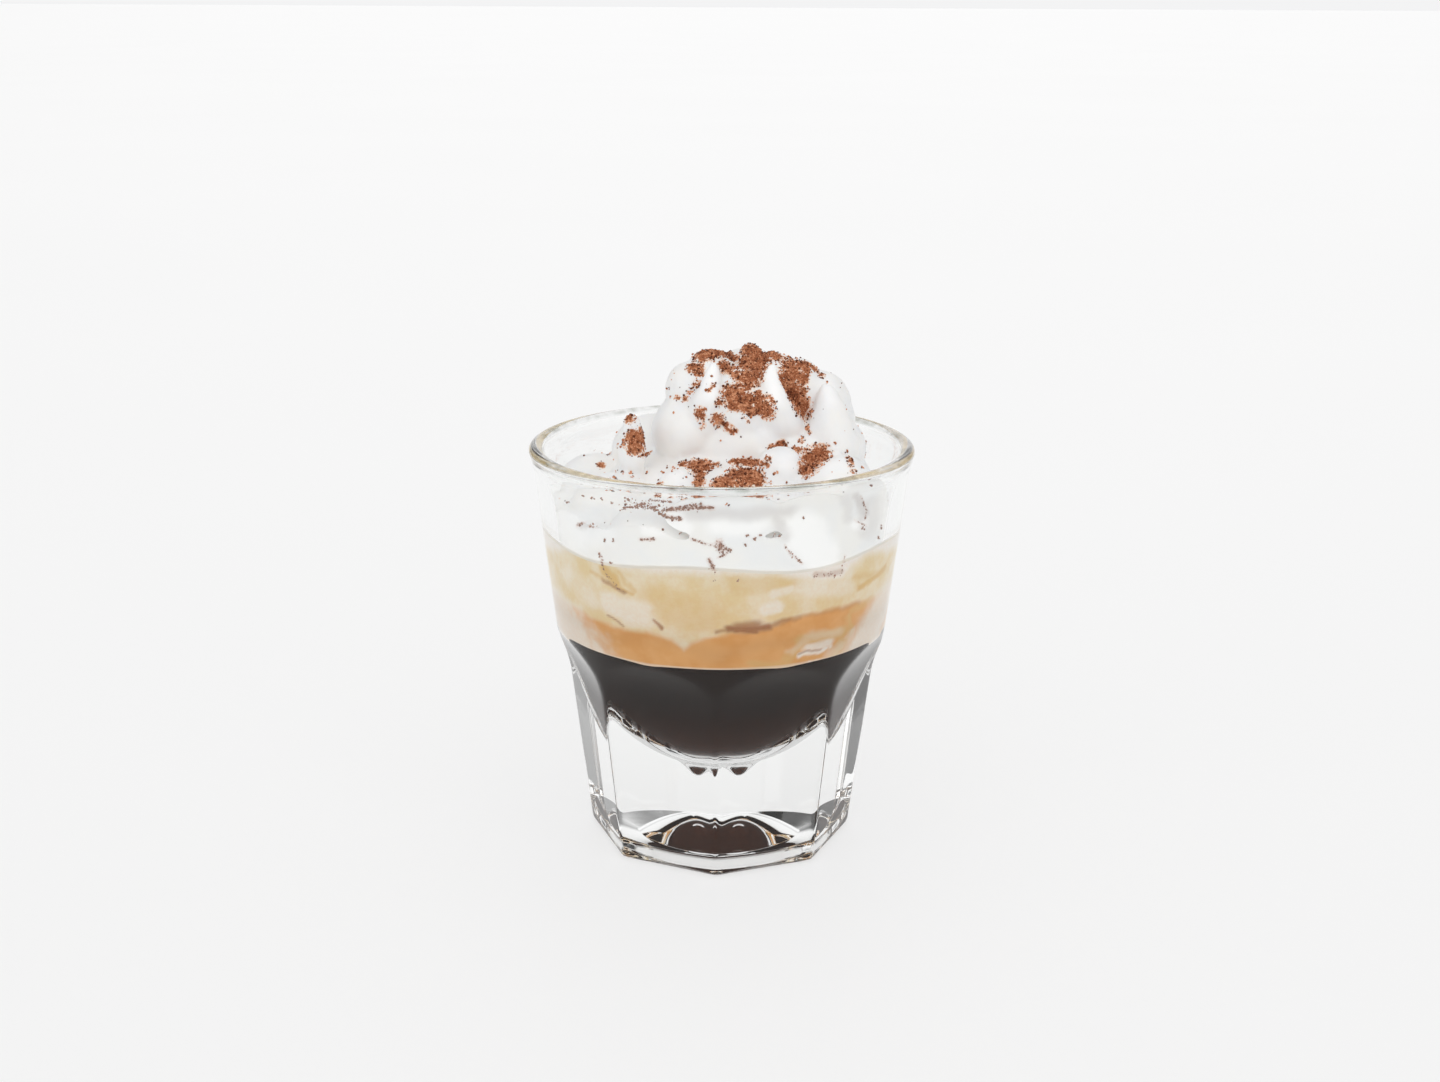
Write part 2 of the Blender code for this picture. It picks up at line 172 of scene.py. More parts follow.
# The cream's lumps as (centre, half sizes, turn about Z in degrees), in millimetres
MOUND = ((4.0, -1.0, 66.0), (29.0, 29.0, 14.0), 0)
CORE = ((6.0, 1.0, 79.0), (17.0, 14.5, 11.5), 0)
HEAD_LUMPS = (
    ((-5.6, -2.0, 88.8), (5.0, 6.5, 5.8), 20),
    ((-6.2, -3.0, 82.0), (7.0, 9.5, 7.2), 0),
    ((-2.0, 0.5, 92.0), (4.6, 6.0, 4.8), 0),
    ((10.0, 0.5, 91.3), (4.8, 6.5, 4.9), 0),
    ((15.0, 1.0, 90.0), (4.2, 6.5, 5.2), 0),
    ((18.2, 0.0, 86.6), (6.4, 8.0, 6.4), 0),
    ((20.6, 0.0, 82.0), (5.2, 8.5, 6.6), 0),
    ((20.0, 0.5, 76.0), (6.0, 10.0, 6.5), 0),
    ((4.2, -4.0, 86.0), (8.0, 8.6, 8.6), 0),
    ((0.0, 11.5, 85.5), (9.0, 7.5, 7.6), 25),
    ((12.5, 12.0, 83.5), (9.5, 7.5, 7.8), -20),
    ((4.5, 6.5, 90.0), (6.5, 6.5, 6.0), 0),
)
SHOULDER_LUMPS = (
    ((-16.4, -11.5, 79.5), (2.8, 3.2, 4.6), 0),
    ((-14.0, 9.0, 75.0), (8.0, 8.0, 6.8), -30),
    ((-7.3, -21.0, 73.6), (4.8, 4.6, 4.6), 0),
    ((3.5, -18.5, 73.8), (8.5, 6.5, 4.8), 5),
    ((22.0, -18.0, 73.4), (8.0, 7.0, 7.2), 30),
    ((11.4, -15.6, 77.2), (4.6, 4.4, 4.6), 0),
    ((15.5, -11.0, 77.5), (6.0, 5.0, 5.0), 0),
    ((20.0, 15.0, 74.5), (8.5, 8.0, 7.5), 20),
    ((3.0, 20.0, 74.0), (10.0, 8.0, 7.5), 0),
    ((-19.0, -14.0, 71.0), (8.0, 7.0, 5.0), 30),
    ((2.0, -33.0, 73.2), (11.0, 5.0, 4.3), 0),
    ((16.5, -29.0, 73.0), (8.0, 5.0, 4.2), 30),
)
# Folds and peaks as lines of (x, y, z, half width), in millimetres
FOLDS = (
    ((-1.4, -7.6, 95.0, 0.8), (-1.8, -8.8, 92.0, 1.9), (-2.4, -9.4, 88.8, 2.9), (-3.2, -7.5, 84.5, 4.4)),
    ((9.5, -7.8, 95.2, 0.8), (9.4, -9.2, 92.4, 1.9), (10.0, -10.2, 89.4, 2.8), (11.6, -9.0, 84.5, 3.8)),
    ((21.6, -14.6, 80.4, 0.8), (19.6, -16.8, 78.4, 1.6), (16.6, -19.0, 75.6, 2.2)),
    ((5.2, -0.8, 96.2, 2.1), (5.2, -1.2, 93.5, 3.2), (5.2, -2.0, 90.0, 5.0)),
    ((19.6, -8.2, 90.6, 1.6), (20.2, -8.6, 86.5, 3.4), (20.6, -8.4, 80.5, 5.4)),
    ((-16.3, -11.3, 84.8, 1.6), (-16.4, -11.3, 81.5, 2.4)),
    ((-5.0, 8.0, 93.6, 1.4), (-5.0, 8.4, 90.5, 2.8), (-5.6, 9.0, 86.0, 4.6)),
    ((8.5, 11.0, 93.2, 1.4), (9.0, 11.6, 90.0, 2.8), (9.6, 12.0, 86.0, 4.8)),
    ((20.0, 9.5, 88.6, 1.5), (20.0, 10.0, 85.5, 3.0), (19.6, 10.4, 80.5, 5.2)),
)
# Lumps pressed against the glass, as (azimuth in degrees, height, half width along the wall)
WALL_LUMPS = (
    (-55, 64.2, 9.5),
    (-24, 65.0, 10.0),
    (6, 64.5, 9.0),
    (34, 66.0, 8.8),
    (62, 66.0, 8.6),
    (93, 64.8, 9.8),
    (124, 66.2, 9.0),
    (157, 65.0, 9.6),
    (190, 66.4, 9.2),
    (222, 65.2, 9.4),
    (254, 65.8, 9.2),
    (280, 64.2, 8.6),
)
WALL_LUMP_HEIGHT = 8.5 * MM
WALL_LUMP_DEPTH = 9.0 * MM
WALL_LUMP_AXIS = 26.0 * MM  # the wall lumps' distance from the tumbler's axis
BED_RADIUS = 36.0 * MM
BED_BASE = 56.0 * MM
BED_TOP = 69.0 * MM
CREAM_VOXEL = 0.5 * MM
CREAM_SMOOTHING = 7
FOLD_SPACING = 0.25  # the step between a fold's balls, as a share of their size
# Gentle unevenness of the cream: (size of the swellings, how far they stand out)
RIPPLES = ((6.5 * MM, 0.45 * MM), (2.1 * MM, 0.1 * MM))

# Where cocoa lies in the photo, as strokes: from and to in pixels, half width in pixels, density
COCOA = (
    (693, 368, 699, 370, 5, 1), (701, 356, 712, 354, 5.8, 1), (718, 354, 729, 356, 4.2, 1),
    (729, 358, 735, 360, 4.2, 0.9), (725, 367, 729, 370, 5.8, 0.95), (736, 374, 741, 379, 5, 0.8),
    (748, 350, 752, 350, 5.8, 1), (757, 354, 763, 356, 8.3, 1), (750, 363, 757, 363, 10, 1),
    (748, 377, 752, 377, 8.3, 1), (757, 366, 757, 370, 5.5, 1), (770, 353, 777, 357, 4.2, 0.95),
    (747, 385, 750, 385, 5.8, 0.9), (732, 393, 735, 393, 8.3, 1), (732, 402, 745, 402, 6.7, 1),
    (748, 400, 752, 400, 6.7, 0.9), (734, 406, 759, 411, 4.2, 0.9), (718, 402, 725, 402, 3.3, 0.8),
    (761, 404, 765, 406, 7.5, 1), (768, 412, 769, 412, 5.8, 1), (758, 393, 759, 393, 2.7, 1),
    (697, 384, 697, 386, 4.2, 0.55), (677, 398, 686, 399, 2, 0.65), (689, 392, 692, 392, 1.7, 0.7),
    (700, 412, 700, 414, 4.7, 0.85), (703, 420, 703, 427, 2, 0.6), (718, 420, 718, 420, 5.8, 0.9),
    (726, 426, 734, 431, 3, 0.8), (739, 413, 747, 421, 1.7, 0.6), (785, 362, 785, 365, 5, 0.7),
    (791, 366, 794, 376, 9, 0.85), (801, 365, 802, 365, 5, 0.95), (807, 365, 807, 375, 3.3, 0.85),
    (813, 367, 817, 370, 2, 0.8), (820, 375, 823, 375, 2, 0.8), (787, 380, 800, 408, 8, 1),
    (804, 376, 805, 391, 2.5, 0.8), (799, 408, 801, 412, 4.7, 0.9), (804, 417, 810, 433, 1.3, 0.7),
    (809, 403, 811, 417, 1.3, 0.6), (630, 418, 630, 418, 4.7, 0.9), (634, 438, 640, 436, 6.7, 0.95),
    (633, 446, 637, 447, 5.8, 1), (618, 445, 624, 445, 1.3, 0.8), (641, 455, 648, 453, 2, 0.8),
    (682, 464, 692, 464, 2.5, 0.9), (697, 467, 703, 467, 6.7, 1), (700, 472, 700, 481, 4.2, 0.95),
    (697, 483, 700, 483, 3.5, 0.9), (708, 391, 715, 383, 1, 0.8), (708, 464, 718, 464, 1.7, 0.8),
    (733, 462, 750, 462, 3, 0.95), (743, 463, 757, 463, 3.3, 0.9), (756, 463, 767, 464, 2.5, 0.85),
    (735, 475, 752, 475, 6.7, 1), (745, 478, 755, 478, 8.3, 1), (720, 484, 727, 483, 6.7, 0.95),
    (722, 484, 742, 484, 2.5, 0.85), (750, 482, 760, 482, 4.5, 0.9), (772, 447, 772, 447, 3.3, 0.9),
    (779, 444, 784, 444, 3, 1), (767, 458, 770, 458, 2, 0.9), (795, 449, 799, 451, 3.3, 0.7),
    (800, 442, 803, 442, 1.7, 0.6), (814, 460, 819, 456, 9.2, 1), (808, 469, 809, 468, 7.5, 1),
    (819, 455, 828, 454, 3, 1), (817, 446, 817, 448, 2.5, 0.9), (849, 458, 851, 465, 3, 0.6),
    (852, 472, 855, 472, 1.7, 0.8), (851, 396, 854, 401, 1.3, 0.85), (601, 465, 602, 465, 3, 0.9),
    (660, 485, 660, 485, 3, 0.85), (673, 488, 674, 488, 1.7, 0.7), (684, 491, 686, 491, 1.7, 0.7),
)
# Lines of cocoa seen through the glass: half width in pixels, then the line's points in pixels
THREADS = (
    (2.0, ((623, 498), (639, 505), (655, 500), (675, 502))),
    (2.8, ((621, 508), (645, 506), (667, 510), (685, 508), (700, 507), (713, 508))),
    (2.4, ((651, 508), (667, 517), (681, 519))),
    (1.4, ((599, 553), (602, 563), (605, 572), (611, 580), (617, 586))),
    (1.3, ((615, 587), (625, 592))),
    (1.4, ((691, 539), (709, 545), (721, 548), (731, 550))),
    (5.0, ((719, 543), (722, 549))),
    (1.6, ((731, 550), (724, 555), (718, 558))),
    (2.6, ((709, 560), (712, 566), (714, 571))),
    (1.0, ((714, 571), (715, 581))),
    (1.4, ((785, 546), (790, 553), (797, 559), (803, 564))),
    (2.0, ((812, 577), (827, 573), (839, 578))),
    (1.2, ((839, 578), (843, 566), (845, 556))),
    (1.0, ((861, 496), (867, 510), (865, 520))),
    (1.0, ((855, 520), (867, 526))),
    (1.8, ((576, 526), (584, 522))),
    (2.2, ((590, 526), (597, 526))),
    (2.0, ((640, 540), (654, 539))),
    (1.2, ((566, 502), (574, 501))),
    (1.2, ((772, 536), (780, 536))),
)
# A painted highlight where the heap's cream is lit whitest, as strokes: from and to in pixels, half width
# in pixels, strength
HIGHLIGHT_STROKES = (
    (712, 366, 713, 392, 7, 0.9), (773, 366, 775, 400, 7.5, 0.9), (676, 362, 684, 360, 8, 0.5),
    (640, 456, 770, 457, 4, 0.8), (660, 476, 682, 474, 8, 0.6), (776, 466, 792, 466, 8, 0.6),
    (800, 430, 812, 440, 4, 0.5), (830, 466, 842, 462, 8, 0.7), (826, 376, 830, 400, 5, 0.5),
)
SCATTERED = 8400  # grains of cocoa strewn on the cream
THREAD_DENSITY = 0.7
THREAD_GRAINS = 1.4  # grains for each square pixel of a line
THREAD_PATCH = 7.0  # the pixels over which a line's width changes
THREAD_FULL = 2.4  # the half width from which a line is unbroken
THREAD_GAP = 2.6  # the size in pixels of the gaps in a thin line
THREAD_BREAK = -0.22  # how much of it they take
# Single specks, in pixels
SPECKS = (
    (668, 370), (677, 362), (669, 389), (670, 397), (673, 413), (644, 413), (651, 405), (693, 353),
    (822, 378), (827, 383), (835, 443), (847, 452), (862, 468), (865, 481), (788, 482), (775, 473),
    (777, 472), (770, 482), (768, 490), (778, 491), (738, 482), (683, 487), (672, 471), (673, 467),
    (667, 468), (662, 472), (647, 472), (617, 471), (622, 472), (632, 477), (631, 473), (610, 480),
    (615, 478), (609, 454), (800, 439), (802, 437), (772, 462), (747, 536), (755, 539), (761, 536),
    (746, 546), (728, 501), (605, 540), (613, 540), (663, 530), (681, 534), (738, 581), (583, 496),
    (593, 498), (611, 563), (803, 518), (864, 529), (881, 528), (879, 537), (602, 499), (612, 503),
)
HEAP_MIDDLE = (0, 0, 80 * MM)
BEHIND = (12 * MM, 18 * MM)  # how far behind it a free dusting begins, and has replaced the strokes
DUSTING = 0.42  # how thickly that lies on average
TOUCHING = (-0.4 * MM, -0.2 * MM)  # how close to the wall the cream begins to touch it, and does
RELIEF_RANGE = (0.35, 0.7)  # the cocoa from which the cream under it is raised, and is fully
RELIEF = (0.12, 0.3)  # in millimetres: how far at the least, and how much more by its crumbs
FOOT_TINT = 0.7  # how strongly the foam tints the cream's foot, between these heights above it
FOOT_BAND = (-0.4 * MM, 1.0 * MM)
STREWN_RANGE = (0.05, 0.4)  # the cocoa from which grains are strewn, and are densest
STRAY_GRAINS = 0.012  # and the share that falls where no cocoa lies
GRAIN_SIZES = (0.13, 0.4, 0.06, 0.3)  # the middle size in millimetres, the spread, the least, the most
THREAD_SIZES = (0.12, 0.4, 0.06, 0.24)
SPECK_SIZES = (0.12, 0.26)
SPECK_SPREAD = 0.9  # in pixels
STROKE_SOFTNESS = 0.6 * MM  # the least softness of a stroke's edge
THREAD_MARGIN = 0.4  # how many pixels wider than a line the cream's tint under it is
SMALL_MARK = 4.5  # marks up to this half width in pixels aren't repeated round the back
# What the crema and the foam show through the glass, by colour: a stroke from and to in pixels of
# the photo, its half width, its soft edge and its strength
LAYER_MARKS = {
    "pale": (
        (612, 604, 640, 614, 12, 8, 0.85), (628, 619, 645, 623, 6, 4, 0.6),
        (572, 578, 596, 598, 9, 9, 0.4), (556, 600, 572, 642, 12, 8, 0.8),
        (766, 609, 776, 607, 6, 4, 0.85), (774, 594, 790, 590, 4, 4, 0.7),
        (800, 588, 848, 588, 7, 7, 0.5), (808, 648, 828, 643, 4, 4, 0.85),
        (800, 655, 825, 649, 2.5, 2.5, 0.95), (828, 641, 830, 648, 1.6, 3, 0.8),
        (808, 663, 816, 660, 1, 1.5, 0.8), (866, 644, 884, 600, 15, 11, 0.85),
        (846, 650, 852, 630, 3, 3, 0.5), (790, 572, 850, 574, 5, 6, 0.45),
        (792, 650, 806, 640, 3, 5, 0.3), (810, 636, 838, 632, 3, 5, 0.35),
        (830, 654, 842, 644, 4, 5, 0.4),
    ),
    "ochre": (
        (655, 604, 704, 614, 15, 14, 0.45), (735, 584, 792, 582, 8, 9, 0.4),
        (599, 553, 604, 568, 1.8, 4, 0.9), (604, 570, 617, 582, 4, 4, 0.9),
        (617, 584, 632, 594, 1.5, 2.5, 0.8), (590, 572, 604, 578, 1.5, 2.5, 0.6),
        (620, 572, 634, 592, 1.5, 2.5, 0.6), (860, 588, 884, 568, 3, 3, 0.9),
        (858, 576, 880, 572, 2, 4, 0.5), (786, 660, 802, 643, 4, 5, 0.6), (800, 640, 842, 632, 5, 5, 0.7),
        (834, 656, 842, 640, 4, 4, 0.7), (846, 616, 850, 632, 2, 2.5, 0.6),
        (750, 664, 792, 668, 3, 4, 0.5), (850, 612, 868, 600, 2.5, 4, 0.5),
    ),
    "dark": (
        (738, 628, 758, 626, 4.4, 6, 0.8), (728, 630, 768, 627, 2.8, 4, 0.95),
        (736, 632, 758, 631, 1.4, 3, 1), (714, 631, 728, 631, 0.9, 3, 0.75),
        (764, 627, 790, 620, 1.3, 4, 0.7), (782, 623, 800, 617, 2.4, 3, 0.4),
        (800, 616, 860, 602, 1.2, 4, 0.25), (604, 580, 624, 591, 1.6, 2, 0.6),
        (608, 616, 624, 626, 0.7, 1.4, 0.7), (655, 622, 660, 628, 1.8, 1.8, 0.8),
        (799, 654, 820, 649, 0.9, 1.5, 0.6), (816, 574, 840, 572, 2.2, 3, 0.35),
    ),
}
# Painted highlights and painted shade on the cream at the glass, in the same form
CREAM_LIGHT_AND_SHADE = {
    "bright": (
        (652, 525, 680, 524, 11, 8, 0.8), (655, 516, 668, 514, 4, 4, 0.8),
        (716, 527, 758, 527, 7, 8, 0.7), (803, 530, 822, 556, 17, 10, 0.8),
        (856, 525, 866, 526, 4.4, 4, 0.9), (600, 506, 618, 508, 6, 6, 0.5),
        (590, 540, 606, 534, 6, 8, 0.4), (564, 506, 572, 534, 12, 10, 0.6),
    ),
    "shade": (
        (690, 514, 790, 511, 5, 8, 0.5), (626, 518, 642, 512, 4.4, 6, 0.6),
        (778, 516, 785, 536, 4.4, 7, 0.5), (856, 495, 866, 515, 3.5, 4, 0.8),
        (870, 505, 862, 520, 2.5, 4, 0.6), (845, 498, 850, 520, 4, 6, 0.35),
        (872, 506, 872, 530, 8, 8, 0.4), (562, 502, 572, 502, 1.8, 3, 0.7),
        (580, 528, 588, 521, 1.2, 2, 0.6),
    ),
}
# The line in the photo, in pixels, at which the amber crema ends, and the one where white begins
AMBER_LINE = (
    (572, 606), (590, 616), (610, 626), (640, 632), (660, 636), (672, 641), (684, 649), (694, 642),
    (715, 636), (745, 632), (770, 627), (790, 619), (815, 612), (850, 604), (880, 594),
)
WHITE_LINE = (
    (560, 547), (575, 551), (592, 557), (602, 563), (620, 568), (640, 570), (716, 573), (770, 574),
    (800, 577), (812, 579), (842, 579), (850, 567), (865, 555), (880, 547),
)
MENISCUS_HIGHLIGHT = 0.6  # a painted highlight: how pale the crema is along the coffee's edge, between these heights above it
EDGE_BAND = (0.1 * MM, 0.45 * MM)
LINE_SOFTNESS = 0.8 * MM  # half the width over which one colour passes into the next
WHITE_SOFTNESS = 1.3 * MM
SIDE_DROP = 2.5 * MM  # how much lower the white begins at the tumbler's sides
# Unevenness of the lines between colours, and of the marks, as (size, strength, place in the noise)
WOBBLE = ((3.5 * MM, 0.5 * MM, (0, 0, 0)), (1.1 * MM, 0.18 * MM, (0, 0, 0)))
MARK_DRIFT = ((2.4 * MM, 0.7 * MM, (4, 8, 1)), (0.9 * MM, 0.3 * MM, (2, 2, 6)))


def spots(radius, azimuth, height):
    """Points at radii and azimuths, where azimuth 0 is -Y and a quarter turn is +X."""
    radius, azimuth, height = np.broadcast_arrays(radius, azimuth, height)
    return np.stack((radius * np.sin(azimuth), -radius * np.cos(azimuth), height), -1)


def azimuths(count):
    return np.arange(count) * 2 * math.pi / count


def polar(points):
    """The points' distances from the tumbler's axis, and their azimuths."""
    return np.hypot(points[:, 0], points[:, 1]), np.arctan2(points[:, 0], -points[:, 1])


def link(obj):
    bpy.context.scene.collection.objects.link(obj)
    return obj


def mesh_object(name, points, faces, smooth=True):
    mesh = bpy.data.meshes.new(name)
    mesh.from_pydata(points, [], faces)
    mesh.validate()
    mesh.update()
    if smooth:
        mesh.shade_smooth()
    return link(bpy.data.objects.new(name, mesh))


def skin(name, rings, first, last):
    """A closed skin through rings of points, with a single point at each end."""
    rows, count = rings.shape[:2]
    points = [tuple(first)] + rings.reshape(-1, 3).tolist() + [tuple(last)]
    ahead = np.roll(np.arange(count), -1)
    here = np.arange(count)
    faces = [(0, 1 + b, 1 + a) for a, b in zip(here.tolist(), ahead.tolist())]
    for row in range(rows - 1):
        low, high = 1 + row * count, 1 + (row + 1) * count
        quads = np.stack((low + here, low + ahead, high + ahead, high + here), -1)
        faces += quads.tolist()
    top, end = 1 + (rows - 1) * count, 1 + rows * count
    faces += [(top + a, top + b, end) for a, b in zip(here.tolist(), ahead.tolist())]
    return mesh_object(name, points, faces)


def cone_radius(height):
    return CONE_RADIUS + CONE_SLOPE * height


BOWL_CENTRE = BOWL_BOTTOM + BOWL_RISE
WALL_AT_CENTRE = WALL_RADIUS + CONE_SLOPE * BOWL_CENTRE
BOWL_REACH = math.sqrt(WALL_AT_CENTRE**2 - (CONE_SLOPE * BOWL_RISE) ** 2)
BOWL_END = BOWL_CENTRE - CONE_SLOPE * BOWL_RISE**2 / WALL_AT_CENTRE


def inner_radius(height, reach=0.0):
    """The inside's radius at a height, plus how far the contents reach into the wall."""
    height = np.asarray(height, float)
    wall = WALL_RADIUS + CONE_SLOPE * height + reach
    share = (height - BOWL_CENTRE) / (BOWL_RISE + reach)
    bowl = (BOWL_REACH + reach) * np.sqrt(np.maximum(1 - share**2, 0.0))
    return np.where(height >= BOWL_END, wall, bowl)


def bowl_outline(top, steps, reach=0.0):
    """(radius, height) points up the bowl, from just off its lowest point to a height."""
    last = math.acos((BOWL_CENTRE - top) / (BOWL_RISE + reach))
    angles = last * np.linspace(0, 1, steps)[1:] ** 1.5
    radii = (BOWL_REACH + reach) * np.sin(angles)
    dimple = DIMPLE_DEPTH * np.exp(-((radii / DIMPLE_WIDTH) ** 2))
    return list(zip(radii, BOWL_CENTRE - (BOWL_RISE + reach) * np.cos(angles) - dimple))


def facet_distance(height):
    flat = (RIDGE_RADIUS + RIDGE_SLOPE * height) * math.cos(math.pi / FACETS)
    rise = np.clip(height - SCOOP_START, 0.0, 0.9 * SCOOP_RADIUS)
    return flat + SCOOP_RADIUS - np.sqrt(SCOOP_RADIUS**2 - rise**2)


def facet_radius(azimuth, height):
    """The octagon's distance from the axis, with its ridges a little rounded."""
    middles = (np.arange(FACETS) + 0.5) * 2 * math.pi / FACETS
    pulls = np.cos(np.asarray(azimuth)[..., None] - middles)
    pull = np.log(np.exp(RIDGE_SHARPNESS * (pulls - 1)).sum(-1)) / RIDGE_SHARPNESS + 1
    return facet_distance(height) / pull


def outer_radius(azimuth, height):
    """The outside's radius: the facets below and the round body above, softly joined."""
    facet = facet_radius(azimuth, height)
    cone = cone_radius(height)
    near = np.minimum(facet, cone)
    blend = np.exp(-ARCH_SHARPNESS * (facet - near)) + np.exp(-ARCH_SHARPNESS * (cone - near))
    return near - np.log(blend) / ARCH_SHARPNESS


def arch_heights(azimuth):
    """The height at each azimuth where the facet meets the round body, found by halving."""
    halvings = 30
    low = np.full(len(azimuth), SCOOP_START)
    high = low + ARCH_LIMIT
    for _ in range(halvings):
        middle = (low + high) / 2
        inside = facet_radius(azimuth, middle) < cone_radius(middle)
        low = np.where(inside, middle, low)
        high = np.where(inside, high, middle)
    return (low + high) / 2


def make_tumbler():
    """The glass from the punt round the foot, up the facets, over the rim and down the bowl."""
    azimuth = azimuths(COLUMNS)
    rows = []

    def row(radius, height):
        rows.append(spots(radius, azimuth, height))

    for share in np.linspace(0, 1, 30)[1:]:
        rise = (PUNT_DEPTH - RECESS_DEPTH) * (1 - share**PUNT_POWER)
        row(PUNT_RADIUS * share, RECESS_DEPTH + rise)
    for step, share in RECESS_EDGE:
        row(RECESS_RADIUS + step * MM, RECESS_RIM * share)
    for share in np.linspace(0, 1, 8):
        turn = share * math.pi / 2
        height = FOOT_ROUND * (1 - math.cos(turn))
        row(outer_radius(azimuth, FOOT_ROUND) - FOOT_ROUND * (1 - math.sin(turn)), height)
    for height in np.linspace(FOOT_ROUND, SCOOP_START, 14)[1:]:
        row(outer_radius(azimuth, height), height)
    arch = arch_heights(azimuth)
    for share in ARCH_ROWS:
        height = SCOOP_START + share * (arch - SCOOP_START)
        row(outer_radius(azimuth, height), height)
    for step in ABOVE_ARCH:
        height = arch + step * MM
        row(outer_radius(azimuth, height), height)
    neck = GLASS_HEIGHT - NECK_DROP
    for share in np.linspace(0, 1, 12)[1:]:
        height = arch + ABOVE_ARCH[-1] * MM + share * (neck - arch - ABOVE_ARCH[-1] * MM)
        row(outer_radius(azimuth, height), height)
    bead_height = GLASS_HEIGHT - BEAD_RADIUS
    for turn in np.radians(np.linspace(*RIM_ARC)):
        across = BEAD_REACH - BEAD_WIDTH + BEAD_WIDTH * math.cos(turn)
        row(across, bead_height + BEAD_RADIUS * math.sin(turn))
    for height in np.linspace(bead_height - 2.2 * BEAD_RADIUS, BOWL_END, 16)[:-1]:
        row(inner_radius(height), height)
    for radius, height in reversed(bowl_outline(BOWL_END, 60)):
        row(radius, height)
    bottom = BOWL_BOTTOM - DIMPLE_DEPTH
    return skin("tumbler_glass", np.array(rows), (0, 0, PUNT_DEPTH), (0, 0, bottom))


def paint_rim_shade(glass):
    """Writes how deeply the rim's glass is tinted: painted shade for the dark look of the thick rim seen
    edge on, uneven along the rim.
    """
    points = points_of(glass.data)
    rim = smooth_step(points[:, 2] - GLASS_HEIGHT, -RIM_SHADE_START, -RIM_SHADE_FULL)
    uneven = RIM_SHADE_SHARE + noises_at(points, RIM_SHADE_NOISE)
    set_values(glass.data, "rim", rim * np.clip(uneven, RIM_SHADE_LEAST, 1))


def make_coffee():
    azimuth = azimuths(COLUMNS)
    rows = [spots(radius, azimuth, height) for radius, height in bowl_outline(COFFEE_TOP, 56, REACH)]
    edge = float(inner_radius(COFFEE_TOP, REACH))
    for share in (0.8, 0.5, 0.2):
        rows.append(spots(edge * share, azimuth, COFFEE_TOP))
    bottom = BOWL_BOTTOM - DIMPLE_DEPTH - REACH
    return skin("coffee_drink", np.array(rows), (0, 0, bottom), (0, 0, COFFEE_TOP))


def camera_place():
    return (
        Matrix.Rotation(PHOTO_TURN, 4, "Z")
        @ Matrix.Translation((0, -CAMERA_BACK, CAMERA_HEIGHT))
        @ Matrix.Rotation(math.pi / 2 - CAMERA_PITCH, 4, "X")
        @ Matrix.Rotation(CAMERA_ROLL, 4, "Z")
    )


def sight(across, down):
    """The camera's place, and its direction through a pixel of the photo."""
    place = camera_place()
    right = (across - PHOTO_WIDTH / 2) / PHOTO_WIDTH + CAMERA_SHIFT
    drop = (down - PHOTO_HEIGHT / 2) / PHOTO_WIDTH
    way = Vector((right * SENSOR / CAMERA_LENS, -drop * SENSOR / CAMERA_LENS, -1.0))
    return place.translation, (place.to_3x3() @ way).normalized()


def pixel_size(point):
    """How large one pixel of the photo is at a point."""
    place = camera_place()
    depth = (Vector(point) - place.translation) @ (place.to_3x3() @ Vector((0, 0, -1)))
    return depth * SENSOR / CAMERA_LENS / PHOTO_WIDTH


def bend(way, normal, ratio):
    """A ray's direction after it enters a denser stuff."""
    along = way @ normal
    return ratio * way - (ratio * along + math.sqrt(1 - ratio**2 * (1 - along**2))) * normal


def tree_of(obj):
    points = [v.co.copy() for v in obj.data.vertices]
    return BVHTree.FromPolygons(points, [p.vertices[:] for p in obj.data.polygons])


def wall_spot(glass, across, down):
    """The point of the tumbler's inner wall that a pixel of the photo shows, or None."""
    eye, way = sight(across, down)
    hit, normal = glass.ray_cast(eye, way)[:2]
    if hit is None:
        return None
    way = bend(way, normal, 1 / GLASS_IOR)
    hit = glass.ray_cast(hit + way * 0.02 * MM, way)[0]
    if hit is None or hit.y > 0:
        return None
    return hit


def land(glass, cream, across, down):
    """The point that a pixel shows: on the inner wall below the rim, on the cream above it."""
    eye, way = sight(across, down)
    hit = glass.ray_cast(eye, way)[0]
    if hit is not None and hit.y < -10 * MM and hit.z < GLASS_HEIGHT - 3 * BEAD_RADIUS:
        return wall_spot(glass, across, down), True
    return cream.ray_cast(eye, way)[0], False


def smooth_step(values, low, high):
    share = np.clip((values - low) / (high - low), 0, 1)
    return share * share * (3 - 2 * share)


def noise_at(points, size, shift=(0, 0, 0)):
    """Smooth noise from about -1 to 1 at many points, with swellings of a size."""
    shift = Vector(shift)
    return np.array([noise.noise(Vector(p) / size + shift) for p in points])


def noises_at(points, layers):
    """The sum of several noises, each as (size, strength, place in the noise)."""
    return sum(strength * noise_at(points, size, place) for size, strength, place in layers)


def read_all(items, name, width, kind=float):
    flat = np.empty(len(items) * width, kind)
    items.foreach_get(name, flat)
    return flat.reshape(-1, width)


def points_of(mesh):
    return read_all(mesh.vertices, "co", 3)


def normals_of(mesh):
    return read_all(mesh.vertex_normals, "vector", 3)


def set_points(mesh, points):
    mesh.vertices.foreach_set("co", points.ravel())
    mesh.update()


def set_values(mesh, name, values):
    attribute = mesh.attributes.new(name, "FLOAT", "POINT")
    attribute.data.foreach_set("value", np.clip(values, 0, 1).astype(np.float32))


def crema_top(azimuth, share):
    lean = CREMA_LEAN * np.sin(azimuth)
    wave = CREMA_WAVE * np.sin(4 * azimuth + 0.8)
    return CREMA_TOP + share * (lean + wave)


def foam_top(azimuth, share):
    return FOAM_TOP + share * FOAM_WAVE * np.sin(5 * azimuth + 2.1)


